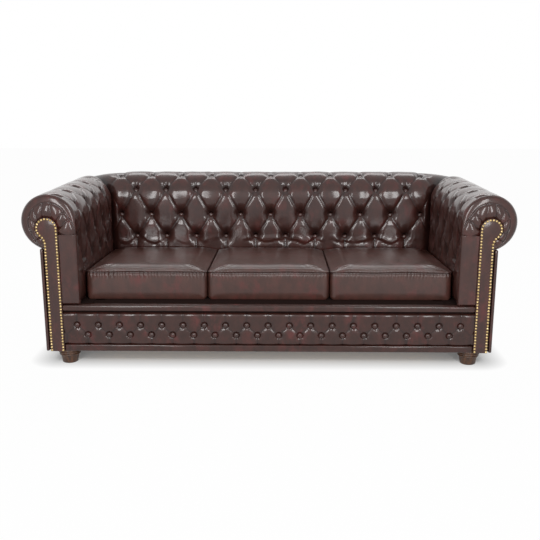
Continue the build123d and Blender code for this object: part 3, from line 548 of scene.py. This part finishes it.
def addButton(bm, seat, outward):
    turn = Vector((0, 0, 1)).rotation_difference(outward.normalized()).to_matrix().to_4x4()
    matrix = Matrix.Translation(seat + outward.normalized() * button["sunk"]) @ turn
    matrix = matrix @ Matrix.Diagonal((1, 1, button["height"] / button["radius"], 1))
    bmesh.ops.create_uvsphere(bm, u_segments=button["round"], v_segments=button["rings"],
                              radius=button["radius"], matrix=matrix)


def rowTurn(row):
    return max(0.0, (tuft["rowAt"][row] - straight) / sofa["rollR"])


def padButtons(columns, place, outwardOf, seed):
    bm = bmesh.new()
    for row in range(lastRow + 1):
        turn = rowTurn(row)
        for u in columns:
            if (u + row) % 2 == 1:
                addButton(bm, place(u, row, seed)[0], outwardOf(-math.cos(turn), math.sin(turn)))
    return bm


armButtons = padButtons(range(0, armTuft["last"] + 1), armPlace, lambda out, up: Vector((out, 0, up)),
                        armTuft["seed"])
bothSides("armButtons", armButtons, leather, "arm_buttons")
span = backTuft["last"]
backButtons = padButtons(range(-span, span + 1), backPlace, lambda out, up: Vector((0, out, up)),
                         backTuft["seed"])
for corner in (-span - 1, span + 1):
    # one button in each mitre, in the row where the roll begins
    turn = rowTurn(tuft["mitreRow"])
    out = -math.cos(turn) * math.sqrt(0.5)
    addButton(backButtons, backPlace(corner, tuft["mitreRow"], backTuft["seed"])[0],
              Vector((math.copysign(out, -corner), out, math.sin(turn))))
finishPiece("backButtons", backButtons, leather, "sofa_frame", ["back_buttons"])

# tufted front panel: shallow, with thin pleats and a padded upper edge
# the panel's pitShade and lineShade paint shade into its pits and pleats
frontTuft = {
    "halfPitch": 0.044, "rowStep": 0.042, "low": 0.090, "high": 0.227, "rowLow": 0.133, "halfWidth": 0.8464,
    "pit": (0.008, 0.008), "reach": (0.024, 0.024), "flat": 0.011, "lift": 0.0, "tall": 1.0,
    "crease": 0.0026, "creaseWidth": 0.0045, "bulge": 0.0022, "pucker": 0.0008, "lineShade": 0.0022,
    "pitShade": 0.55, "perUnit": 14, "lines": 68, "lastButton": 18, "topRound": 0.0125, "lowDraw": 0.008,
    "lowRound": 0.005,
    "loose": 0.0012, "looseSize": 0.05, "seed": 12.0, "looseSeed": 4,
}


def frontPoint(x, z):
    u, v = x / frontTuft["halfPitch"], (z - frontTuft["rowLow"]) / frontTuft["rowStep"]
    depth, dark = tuftDepth(u, v, frontTuft["halfPitch"], frontTuft["rowStep"], frontTuft, 1,
                            frontTuft["seed"])
    over = max(0.0, 1 - (frontTuft["high"] - z) / frontTuft["topRound"])
    depth += frontTuft["topRound"] * quarterRound(over)
    depth += frontTuft["lowDraw"] * bell(z - frontTuft["low"], frontTuft["lowRound"])
    depth += frontTuft["loose"] * grain3(x, 0, z, frontTuft["looseSize"], frontTuft["looseSeed"])
    deepest = sofa["shellFront"] - sofa["faceFront"] - sofa["skinGap"]
    return Vector((x, sofa["faceFront"] + max(0.0, min(depth, deepest)), z)), dark


def frontPanel():
    width, height = 2 * frontTuft["halfWidth"], frontTuft["high"] - frontTuft["low"]
    columns = round(width / frontTuft["halfPitch"] * frontTuft["perUnit"])
    return creasedGrid(columns, frontTuft["lines"], lambda across, up: frontPoint(
        (across - 0.5) * width, frontTuft["low"] + up * height))


finishPiece("frontPanel", frontPanel(), shadedFrontLeather, "sofa_frame", ["front_panel"])
frontBm = bmesh.new()
for row in (0, 1):
    for u in range(-frontTuft["lastButton"], frontTuft["lastButton"] + 1):
        if (u + row) % 2 == 1:
            height = frontTuft["rowLow"] + row * frontTuft["rowStep"]
            addButton(frontBm, frontPoint(u * frontTuft["halfPitch"], height)[0], Vector((0, -1, 0)))
finishPiece("frontButtons", frontBm, shadedFrontLeather, "sofa_frame", ["front_buttons"])
print("front panel done")


# pleated ring round the scroll, puffed, with the roll's edge sewn on round it
ring = {
    "from": -81.0, "to": 209.0, "steps": 320, "across": 30, "headX": 0.005, "headZ": -0.023, "inner": 0.041,
    "leastLip": 0.12, "puff": 0.008, "drop": 0.011, "crest": 0.4,
    "pleats": 9, "deep": 0.011, "wander": 0.55, "foldSharp": 0.0028, "foldWide": 0.009, "foldShare": 0.65,
    "foldShadeReach": 0.0024, "foldShade": 0.75, "foldMean": 0.65, "foldVary": 0.6, "shallower": 0.45,
    "gathers": 40, "gatherDeep": 0.0002, "gatherFade": (0.1, 0.7),
    "seam": 0.0028, "seamAt": 0.66, "seamWidth": 0.09, "seamLine": 0.05, "seamTurn": 0.06, "seamDark": 0.6,
}


def ringPoint(a, s):
    degrees = ring["from"] + a * (ring["to"] - ring["from"])
    theta = math.radians(degrees)
    direction = Vector((math.cos(theta), 0, math.sin(theta)))
    rimRadius = sofa["rollR"] - sofa["skinGap"]
    # under the scroll's middle the rim runs straight down, as the pad does
    if degrees > 180:
        rimRadius /= math.cos(theta - math.pi)
    lip = rollEndRound["inward"] * max(ring["leastLip"], endWeight(degrees))
    seam = (rimRadius - lip) * direction
    inner = Vector((ring["headX"], 0, ring["headZ"])) + ring["inner"] * direction
    base = endFront - ring["drop"] + ring["puff"]
    if s < ring["seamAt"]:
        q = s / ring["seamAt"]
        point = inner.lerp(seam, q)
        crest = ring["crest"]
        rise = ring["puff"] * (1 - (1 - min(1.0, q / crest)) ** 2)
        rise -= ring["drop"] * max(0.0, (q - crest) / (1 - crest)) ** 2
        wave = a * ring["pleats"] + ring["wander"] * noiseAt(a * 7, q * 0.8, 1.7)
        whole = math.radians(ring["to"] - ring["from"])
        away = abs(wave - round(wave)) * point.length * whole / ring["pleats"]
        strength = ring["foldMean"] + ring["foldVary"] * noiseAt(round(wave) * 1.37, 2.2, 0)
        fold = ring["foldShare"] * math.exp(-away / ring["foldSharp"])
        fold += (1 - ring["foldShare"]) * bell(away, ring["foldWide"])
        rise -= ring["deep"] * strength * fold * (1 - ring["shallower"] * q)
        gathered = 1 - smoothStep(*ring["gatherFade"], q)
        rise += ring["gatherDeep"] * math.sin(2 * math.pi * ring["gathers"] * a) * gathered
        rise -= ring["seam"] * bell(1 - q, ring["seamWidth"])
        # painted shade along each pleat, and a darker line at the seam
        dark = max(ring["foldShade"] * math.exp(-away / ring["foldShadeReach"]) * strength,
                   ring["seamDark"] * bell(1 - q, ring["seamLine"]))
        y = base - rise
    else:
        # the plain leather outside the seam, as far back as the pad's front edge
        last = math.acos(1 - (sofa["shellFront"] - endFront) / rollEndRound["back"])
        turn = (s - ring["seamAt"]) / (1 - ring["seamAt"]) * last
        point = seam + direction * lip * math.sin(turn)
        sewn = bell(turn, ring["seamTurn"])
        y = endFront + rollEndRound["back"] * (1 - math.cos(turn)) + ring["seam"] * sewn
        dark = ring["seamDark"] * sewn
    return Vector((rollX, y, sofa["rollZ"])) + point, max(0.0, min(1.0, dark))


def pleatedRing():
    bm = creasedGrid(ring["steps"], ring["across"], ringPoint)
    bm.normal_update()
    if sum(face.normal.y for face in bm.faces) > 0:
        bmesh.ops.reverse_faces(bm, faces=bm.faces)
    return bm


bothSides("armRing", pleatedRing(), leather, "arm_ring")

# keyhole facing with its row of nails
facing = {"inner": 0.847, "outer": 0.906, "head": 0.045, "neck": 0.040, "headZ": 0.580, "low": 0.062,
          "edge": 0.003, "steps": 150, "nailInset": 0.006, "nailPitch": 0.0125, "nailRadius": 0.0052,
          "nailHeight": 0.0042, "nailRound": 10, "nailRings": 6, "nailSunk": 0.0012}


def facingCurve(inset):
    # centres, radii and turns of the head and the neck
    head, neck = facing["head"] - inset, facing["neck"] + inset
    headX = facing["inner"] + facing["head"]
    neckX = facing["outer"] + facing["neck"]
    drop = math.sqrt((head + neck) ** 2 - (neckX - headX) ** 2)
    lean = math.atan2(-drop, neckX - headX)
    return {"head": Vector((headX, 0, facing["headZ"])), "headR": head, "neckR": neck, "lean": lean,
            "neck": Vector((neckX, 0, facing["headZ"] - drop)), "inner": facing["inner"] + inset,
            "outer": facing["outer"] - inset, "low": facing["low"] + inset}


def facingPath(inset, distance):
    curve = facingCurve(inset)
    rise = facing["headZ"] - curve["low"]
    sweep = math.pi - curve["lean"]
    bend = -curve["lean"]
    if distance < rise:
        return Vector((curve["inner"], 0, curve["low"] + distance))
    distance -= rise
    if distance < sweep * curve["headR"]:
        turn = math.pi - distance / curve["headR"]
        return curve["head"] + curve["headR"] * Vector((math.cos(turn), 0, math.sin(turn)))
    distance -= sweep * curve["headR"]
    if distance < bend * curve["neckR"]:
        turn = math.pi + curve["lean"] + distance / curve["neckR"]
        return curve["neck"] + curve["neckR"] * Vector((math.cos(turn), 0, math.sin(turn)))
    distance -= bend * curve["neckR"]
    return Vector((curve["outer"], 0, curve["neck"].z - distance))


def facingLength(inset):
    curve = facingCurve(inset)
    rise = facing["headZ"] - curve["low"]
    return (rise + (math.pi - curve["lean"]) * curve["headR"]
            - curve["lean"] * curve["neckR"] + curve["neck"].z - curve["low"])


def facingPanel():
    bm = bmesh.new()
    length, steps = facingLength(0), facing["steps"]
    verts = []
    for n in range(steps + 1):
        place = facingPath(0, length * n / steps)
        place.y = sofa["front"]
        verts.append(bm.verts.new(place))
    face = bm.faces.new(verts)
    grown = bmesh.ops.extrude_face_region(bm, geom=[face])
    moved = [g for g in grown["geom"] if isinstance(g, bmesh.types.BMVert)]
    bmesh.ops.translate(bm, verts=moved, vec=(0, sofa["shellFront"] - sofa["front"], 0))
    bmesh.ops.recalc_face_normals(bm, faces=bm.faces)
    rim = [e for e in bm.edges if all(abs(v.co.y - sofa["front"]) < near for v in e.verts)]
    roundEdges(bm, rim, facing["edge"])
    return bm


def nailRow():
    bm = bmesh.new()
    length = facingLength(facing["nailInset"])
    count = round(length / facing["nailPitch"])
    for n in range(count + 1):
        place = facingPath(facing["nailInset"], min(length * n / count, length - near))
        place.y = sofa["front"]
        flat = Matrix.Diagonal((1, facing["nailHeight"] / facing["nailRadius"], 1, 1))
        matrix = Matrix.Translation(place) @ flat @ Matrix.Rotation(math.pi / 2, 4, "X")
        made = bmesh.ops.create_uvsphere(bm, u_segments=facing["nailRound"], v_segments=facing["nailRings"],
                                         radius=facing["nailRadius"], matrix=matrix)
        hidden = [v for v in made["verts"] if v.co.y > sofa["front"] + facing["nailSunk"]]
        bmesh.ops.delete(bm, geom=hidden, context="VERTS")
    return bm


bothSides("armFacing", facingPanel(), leather, "arm_facing")
bothSides("facingNails", nailRow(), brass, "facing_nails")
print("scrolls done")


# covered boards: boxes with rounded edges and slightly slack leather
board = {"edge": 0.004, "slack": 0.0016, "outerSlack": 1.6, "near": 1e-5, "ripple": 9, "sunk": 0.2}
outerPanel = {"gap": 0.001, "armCuts": (1, 24, 14), "backCuts": (50, 1, 14)}
armStrip = {"top": 0.049, "gap": 0.0003, "edge": 0.002, "padRound": 0.0145, "cuts": (24, 1, 60)}
rail = {"gap": 0.0006, "low": 0.237, "edge": 0.006, "slack": 0.8, "cuts": (70, 1, 2), "tongueHalf": 0.8155,
        "tongueDeep": 0.016, "tongueLow": 0.2372, "tongueHigh": 0.2608, "tongueEdge": 0.002}
lowStrip = {"edge": 0.005, "slack": 1.4, "cuts": (90, 1, 2)}
panelTop = sofa["rollZ"] + sofa["rollR"] * math.sin(rollEnd) - outerPanel["gap"]


def coveredBoard(bm, low, high, edge, cuts, slack, seed, outwardAxis, sign):
    def inside(vert):
        return all(l - board["near"] <= c <= h + board["near"] for c, l, h in zip(vert.co, low, high))

    made = bmesh.ops.create_cube(bm, size=1.0)
    verts = made["verts"]
    size = [h - l for l, h in zip(low, high)]
    middle = [(h + l) / 2 for l, h in zip(low, high)]
    bmesh.ops.scale(bm, vec=size, verts=verts)
    bmesh.ops.translate(bm, vec=middle, verts=verts)
    edges = list({e for v in verts for e in v.link_edges})
    roundEdges(bm, edges, edge)
    for axis, count in enumerate(cuts):
        for n in range(1, count):
            plane = Vector((0, 0, 0))
            plane[axis] = low[axis] + edge + (size[axis] - 2 * edge) * n / count
            normal = Vector((0, 0, 0))
            normal[axis] = 1
            own = [v for v in bm.verts if inside(v)]
            ownEdges = {e for v in own for e in v.link_edges}
            ownFaces = {f for v in own for f in v.link_faces}
            bmesh.ops.bisect_plane(bm, geom=[*own, *ownEdges, *ownFaces], plane_co=plane, plane_no=normal)
    face = high[outwardAxis] if sign > 0 else low[outwardAxis]
    for v in bm.verts:
        if inside(v) and abs(v.co[outwardAxis] - face) < board["near"]:
            ripple = noise.noise(v.co * board["ripple"] + Vector((seed, 0, 0))) - board["sunk"]
            v.co[outwardAxis] += sign * slack * ripple
    return bm


def outerArmPanel():
    low = (sofa["armFace"] + sofa["panelIn"], sofa["faceFront"], sofa["footH"])
    high = (sofa["armFace"] + sofa["panelOut"], sofa["backFace"] + sofa["panelOut"], panelTop)
    return coveredBoard(bmesh.new(), low, high, board["edge"], outerPanel["armCuts"],
                        board["slack"] * board["outerSlack"], seed=3.0, outwardAxis=0, sign=1)


def outerBackPanel():
    half = sofa["armFace"] + sofa["panelOut"]
    low = (-half, sofa["backFace"] + sofa["panelIn"], sofa["footH"])
    high = (half, sofa["backFace"] + sofa["panelOut"], panelTop)
    return coveredBoard(bmesh.new(), low, high, board["edge"], outerPanel["backCuts"],
                        board["slack"] * board["outerSlack"], seed=6.0, outwardAxis=1, sign=1)


def innerArmStrip():
    low = (sofa["armFace"], sofa["faceFront"], sofa["padLow"])
    high = (facing["inner"] - armStrip["gap"], sofa["shellFront"], sofa["rollZ"] - armStrip["top"])
    bm = coveredBoard(bmesh.new(), low, high, armStrip["edge"], armStrip["cuts"], board["slack"],
                      seed=8.0, outwardAxis=1, sign=-1)
    for vert in bm.verts:
        # the padded edges towards the seat and at the foot are round
        over = 1 - min(vert.co.x - sofa["armFace"], vert.co.z - sofa["padLow"]) / armStrip["padRound"]
        if over > 0:
            fall = armStrip["padRound"] * quarterRound(over)
            vert.co.y = min(max(vert.co.y, sofa["faceFront"] + fall), sofa["shellFront"])
    return bm


def seatRail():
    half, tongue = facing["inner"] - rail["gap"], rail["tongueHalf"]
    low, high = (-half, sofa["front"], rail["low"]), (half, sofa["shellFront"], sofa["deck"])
    bm = coveredBoard(bmesh.new(), low, high, rail["edge"], rail["cuts"], board["slack"] * rail["slack"],
                      seed=10.0, outwardAxis=1, sign=-1)
    # the plain tongue behind the rail, between the arms
    low = (-tongue, sofa["shellFront"], rail["tongueLow"])
    high = (tongue, sofa["shellFront"] + rail["tongueDeep"], rail["tongueHigh"])
    return coveredBoard(bm, low, high, rail["tongueEdge"], (1, 1, 1), 0, seed=10.0, outwardAxis=1, sign=-1)


def frontStrip():
    half = facing["inner"] - rail["gap"]
    low, high = (-half, sofa["faceFront"], sofa["footH"]), (half, sofa["shellFront"], frontTuft["low"])
    return coveredBoard(bmesh.new(), low, high, lowStrip["edge"], lowStrip["cuts"],
                        board["slack"] * lowStrip["slack"], seed=14.0, outwardAxis=1, sign=-1)


bothSides("armOuterPanel", outerArmPanel(), leather, "arm_outer_panel")
finishPiece("backOuterPanel", outerBackPanel(), leather, "sofa_frame", ["back_outer_panel"])
bothSides("armStrip", innerArmStrip(), leather, "arm_strip")
finishPiece("seatRail", seatRail(), shadedFrontLeather, "sofa_frame", ["seat_rail"])
finishPiece("frontStrip", frontStrip(), shadedFrontLeather, "sofa_frame", ["front_strip"])
print("covered boards done")

# seat cushions: a boxed foam shape blown up a little inside its leather, with a puckered seam
seat = {
    "low": 0.2613, "border": 0.1155, "crown": 0.021, "fall": 0.20, "corner": 0.020, "cornerSteps": 6,
    "shoulder": 0.006, "foot": 0.0015, "rimSteps": 5, "slack": 0.0015, "voxel": 0.0065, "pressure": 4.0,
    "frames": 20, "cap": 0.006, "sideCap": 0.001,
    "endRise": 0.085, "endLow": 0.3, "swell": 0.004, "lean": 0.006, "round": 0.016, "roundShare": 0.6,
    "seam": 0.0045, "seamWidth": 0.0065, "seamDark": 0.55, "below": 0.010, "creep": 0.0025,
    "creepSize": 0.13, "creepFrom": (0.3, 1.0), "pucker": 0.0022, "puckerPitch": 0.0135, "seamPucker": 0.5,
    "puckerDrift": 0.8, "driftSize": 0.05, "looseSize": 0.14, "looseMean": 0.6, "looseVary": 0.7,
    "seed": 20.0, "seedStep": 7,
}


def cushionBlock(half):
    # the foam: a box with rounded corners, a round shoulder on top and a tighter edge below
    bm = bmesh.new()
    bmesh.ops.create_cube(bm, size=2.0)
    height = seat["border"] + seat["crown"]
    bmesh.ops.scale(bm, vec=(half.x - seat["slack"], half.y - seat["slack"], height / 2), verts=bm.verts)
    bmesh.ops.translate(bm, vec=(0, 0, height / 2), verts=bm.verts)
    upright = [e for e in bm.edges if abs(e.verts[0].co.z - e.verts[1].co.z) > 0.01]
    roundEdges(bm, upright, seat["corner"], seat["cornerSteps"])
    for level, radius in ((height, seat["shoulder"]), (0, seat["foot"])):
        rim = [e for e in bm.edges if all(abs(v.co.z - level) < near for v in e.verts)]
        roundEdges(bm, rim, radius, seat["rimSteps"])
    return bm


def plumpMesh(half):
    foam = addMesh("cushionFoam", cushionBlock(half))
    remesh = foam.modifiers.new("remesh", "REMESH")
    remesh.mode, remesh.voxel_size = "VOXEL", seat["voxel"]
    foam.data = bpy.data.meshes.new_from_object(foam.evaluated_get(bpy.context.evaluated_depsgraph_get()))
    foam.modifiers.clear()
    before = [v.co.copy() for v in foam.data.vertices]
    held = foam.vertex_groups.new(name="held")
    sewn = [v.index for v in foam.data.vertices
            if abs(v.co.z - seat["border"]) < seat["voxel"] or v.co.z < seat["voxel"]]
    held.add(sewn, 1.0, "REPLACE")
    cloth = foam.modifiers.new("cloth", "CLOTH")
    cloth.settings.use_pressure = True
    cloth.settings.uniform_pressure_force = seat["pressure"]
    cloth.settings.vertex_group_mass = "held"
    cloth.settings.effector_weights.gravity = 0
    cloth.point_cache.frame_end = seat["frames"]
    for step in range(1, seat["frames"] + 1):
        bpy.context.scene.frame_set(step)
    blown = bpy.data.meshes.new_from_object(foam.evaluated_get(bpy.context.evaluated_depsgraph_get()))
    for vert, start in zip(foam.data.vertices, before):
        move = blown.vertices[vert.index].co - start
        most = seat["cap"] if start.z > seat["border"] else seat["sideCap"]
        vert.co = start + move * min(1.0, most / max(move.length, 1e-9))
    foam.modifiers.clear()
    bpy.context.scene.frame_set(1)
    shape = foam.data
    bpy.data.objects.remove(foam)
    return shape


def seatCushion(node, shape, seed):
    middle, half = middleAndHalf(node)
    bm = bmesh.new()
    bm.from_mesh(shape)
    bmesh.ops.subdivide_edges(bm, edges=bm.edges, cuts=1, use_grid_fill=True, smooth=0.6)
    crease = bm.verts.layers.float.new("crease")
    bm.normal_update()
    for vert in bm.verts:
        x, y, z = vert.co
        side = math.sqrt(max(0.0, 1 - vert.normal.z ** 2))
        seam = bell(z - seat["border"], seat["seamWidth"]) * side
        below = bell(z - seat["border"] + seat["below"], seat["below"]) * side
        along = x if abs(vert.normal.y) > abs(vert.normal.x) else y
        drift = seat["puckerDrift"] * grain3(x, y, 0, seat["driftSize"], seed)
        wave = math.sin(2 * math.pi * (along / seat["puckerPitch"] + drift))
        loose = seat["looseMean"] + seat["looseVary"] * grain3(x, y, 0, seat["looseSize"], seed + 3)
        inward = seat["seam"] * seam + seat["pucker"] * loose * wave * (seat["seamPucker"] * seam + below)
        over = max(0.0, min(1.0, (z - seat["border"]) / seat["crown"]))
        inward -= seat["swell"] * math.sin(math.pi * over) * side
        x, y, z = vert.co - vert.normal * inward
        y += seat["lean"] * min(1.0, z / seat["border"]) * (half.y - y) / (2 * half.y)
        if z > seat["border"]:
            rise = smoothStep(0, seat["endRise"], half.x - abs(x))
            z = seat["border"] + (z - seat["border"]) * (seat["endLow"] + (1 - seat["endLow"]) * rise)
        tip = 1 - smoothStep(0, seat["round"], half.x - abs(x))
        z = max(z, seat["round"] * seat["roundShare"] * tip * (1 - smoothStep(0, 2 * seat["round"], z)))
        creep = seat["creep"] * grain3(x, y, 0, seat["creepSize"], seed)
        z += creep * smoothStep(*seat["creepFrom"], z / seat["border"])
        z *= 1 - seat["fall"] * (y + half.y) / (2 * half.y)
        vert.co = Vector((middle.x + x, middle.y + y, seat["low"] + max(0.0, z)))
        vert[crease] = min(1.0, seat["seamDark"] * seam)
    return bm


plump = plumpMesh(middleAndHalf("cushion_middle")[1])
for number, side in enumerate(("left", "middle", "right")):
    node = "cushion_" + side
    cushion = seatCushion(node, plump, seat["seed"] + seat["seedStep"] * number)
    finishPiece("seatCushion" + side.capitalize(), cushion, litSeatLeather, node, [node])
bpy.data.meshes.remove(plump)
print("cushions done")

# bed mattresses: thin, channelled, in striped ticking
mattress = {"cuts": 44, "channel": 0.098, "deep": 0.0045, "edge": 0.016, "edgeReach": 0.014, "edgeShare": 0.6,
            "sideIn": 0.006}


def bedMattress(node):
    middle, half = middleAndHalf(node)
    bm = bmesh.new()
    bmesh.ops.create_cube(bm, size=2.0)
    bmesh.ops.subdivide_edges(bm, edges=bm.edges, cuts=mattress["cuts"], use_grid_fill=True)
    for vert in bm.verts:
        cx, cy, cz = vert.co
        x, y = cx * half.x, cy * half.y
        groove = abs(math.sin(math.pi * (y + half.y) / mattress["channel"])) ** 0.5
        edge = min(half.x - abs(x), half.y - abs(y))
        thin = mattress["deep"] * (1 - groove)
        thin += mattress["edge"] * bell(edge, mattress["edgeReach"]) * mattress["edgeShare"]
        z = cz * (half.z - thin)
        x *= 1 - mattress["sideIn"] * abs(cz) ** 4
        vert.co = Vector((middle.x + x, middle.y + y, middle.z + z))
    bmesh.ops.recalc_face_normals(bm, faces=bm.faces)
    return bm


for section in ("head", "middle", "foot"):
    finishPiece(section + "Mattress", bedMattress(section + "_mattress"), ticking, section + "_section",
                [section + "_mattress"])
print("mattresses done")

# turned feet: radius and height of a taper, two beads and a collar, from the floor up
footShape = {
    "taper": ((0.0, 0.0), (0.030, 0.0), (0.0325, 0.0025), (0.0333, 0.008), (0.0372, 0.031), (0.0378, 0.0335)),
    "lowBead": ((0.0405, 0.0342), (0.0432, 0.0362), (0.0438, 0.0382), (0.0428, 0.0402), (0.0402, 0.0414)),
    "highBead": ((0.0402, 0.0424), (0.0435, 0.0432), (0.0456, 0.0452), (0.046, 0.0472), (0.0452, 0.0492),
                 (0.0428, 0.0504)),
    "collar": ((0.0428, 0.0512), (0.0452, 0.052), (0.046, 0.0535), (0.046, 0.0619), (0.0, 0.0619)),
    "steps": 48,
}
footProfile = footShape["taper"] + footShape["lowBead"] + footShape["highBead"] + footShape["collar"]


def turnedFoot(node):
    middle = middleAndHalf(node)[0]
    bm = bmesh.new()
    verts = [bm.verts.new((radius, 0, z)) for radius, z in footProfile]
    edges = [bm.edges.new(pair) for pair in zip(verts, verts[1:])]
    bmesh.ops.spin(bm, geom=verts + edges, cent=(0, 0, 0), axis=(0, 0, 1), angle=2 * math.pi,
                   steps=footShape["steps"], use_merge=True)
    bmesh.ops.remove_doubles(bm, verts=bm.verts, dist=near)
    bmesh.ops.recalc_face_normals(bm, faces=bm.faces)
    bmesh.ops.translate(bm, verts=bm.verts, vec=(middle.x, middle.y, 0))
    return bm


for place in ("front_right", "front_left", "rear_right", "rear_left"):
    node = "foot_" + place
    finishPiece(node + "_turned", turnedFoot(node), footWood, "sofa_frame", [node])
print("feet done")

# nodes that stay keep their shape and take a finish by slot
# those that would show as bare timber in a gap or a corner take the lining, whose near-black colour paints the
# shade there
finishes = {"leather": leather, "frame_timber": timber, "stained_wood": footWood, "antique_brass": brass,
            "dark_steel": steel, "mattress_ticking": ticking, "birch_slats": birch}
shadeLinedNodes = ("foot_apron", "base_side", "base_front", "arm_core", "back_core")
for part in frame["record"]["subparts"]:
    kept = cadNodes[part["node"]]
    kept.data.materials.clear()
    shadeLined = part["node"].startswith(shadeLinedNodes)
    kept.data.materials.append(shadeLining if shadeLined else finishes[part["material_slot"]])
print("finishes on the nodes that stay")

# stage: a pale floor that fades to white away from the sofa's own shadow
stage = {"floor": "#e9eae9", "size": 12.0, "below": 0.0005, "halfX": 0.88, "halfY": 0.36, "fade": 0.14,
         "least": 0.12, "most": 0.98, "fill": "#f4f4f6", "fillStrength": 0.13}


def seenDirectly(tree):
    # 1 for the camera, and for what gloss and glass show of the background
    rays = addNode(tree, "LightPath").node.outputs
    either = addNode(tree, "Math", {0: rays["Is Camera Ray"], 1: rays["Is Glossy Ray"]}, operation="MAXIMUM")
    return addNode(tree, "Math", {0: either, 1: rays["Is Transmission Ray"]}, operation="MAXIMUM")


def makeFloor():
    bm = bmesh.new()
    bmesh.ops.create_grid(bm, x_segments=1, y_segments=1, size=stage["size"])
    bmesh.ops.translate(bm, verts=bm.verts, vec=(0, 0, -stage["below"]))
    floor = addMesh("studioFloor", bm)
    material, tree, place = newMaterial("pale_floor")
    folded = addNode(tree, "VectorMath", {0: place}, operation="ABSOLUTE")
    past = addNode(tree, "VectorMath", {0: folded, 1: (stage["halfX"], stage["halfY"], 1)},
                   operation="SUBTRACT")
    outside = addNode(tree, "VectorMath", {0: past, 1: (0, 0, 0)}, operation="MAXIMUM")
    far = addNode(tree, "VectorMath", {0: outside}, "Value", operation="LENGTH")
    fade = addNode(tree, "MapRange", {"Value": far, "From Max": stage["fade"], "To Min": stage["least"],
                                      "To Max": stage["most"]})
    white = addNode(tree, "Math", {0: fade, 1: seenDirectly(tree)}, operation="MULTIPLY")
    matt = addNode(tree, "BsdfDiffuse", {"Color": stage["floor"]})
    glow = addNode(tree, "Emission", {"Color": (1, 1, 1, 1), "Strength": 1.0})
    shader = addNode(tree, "MixShader", {0: white, 1: matt, 2: glow})
    addNode(tree, "OutputMaterial", {"Surface": shader})
    floor.data.materials.append(material)


makeFloor()

# soft studio light: a wide bank over the back and a tall softbox on each side of the camera
lamps = {
    "backBank": {"at": (0, 1.5, 2.5), "to": (0, 0, 0.4), "size": (3.2, 0.9), "watts": 32},
    "leftBox": {"at": (-1.2, -3.7, 1.75), "to": (0, 0.1, 0.9), "size": (0.65, 2.6), "watts": 62},
    "rightBox": {"at": (1.2, -3.7, 1.75), "to": (0, 0.1, 0.9), "size": (0.65, 2.6), "watts": 62},
}
for name, lamp in lamps.items():
    data = bpy.data.lights.new(name, "AREA")
    data.shape = "RECTANGLE"
    data.size, data.size_y = lamp["size"]
    data.energy = lamp["watts"]
    light = addObject(name, data)
    light.location = lamp["at"]
    light.rotation_euler = (Vector(lamp["to"]) - Vector(lamp["at"])).to_track_quat("-Z", "Y").to_euler()

world = bpy.data.worlds.new("studioWorld")
bpy.context.scene.world = world
world.use_nodes = True
sky = world.node_tree
sky.nodes.clear()
fill = addNode(sky, "Background", {"Color": stage["fill"], "Strength": stage["fillStrength"]})
plain = addNode(sky, "Background", {"Color": (1, 1, 1, 1), "Strength": 1.0})
mixed = addNode(sky, "MixShader", {0: seenDirectly(sky), 1: fill, 2: plain})
addNode(sky, "OutputWorld", {"Surface": mixed})

# camera at the photograph's place
view = {"at": (0.0537, -3.4784, 1.1191), "down": 13.158, "turn": 0.866,
        "focal": 766.1, "frame": 540, "sensor": 36}
cameraData = bpy.data.cameras.new("camera")
cameraData.sensor_width = view["sensor"]
cameraData.lens = view["focal"] / view["frame"] * view["sensor"]
camera = addObject("camera", cameraData)
camera.location = view["at"]
camera.rotation_euler = (math.radians(90 - view["down"]), 0, math.radians(view["turn"]))
bpy.context.scene.camera = camera
bpy.context.scene.view_settings.view_transform = "Standard"
print("stage, light and camera set")
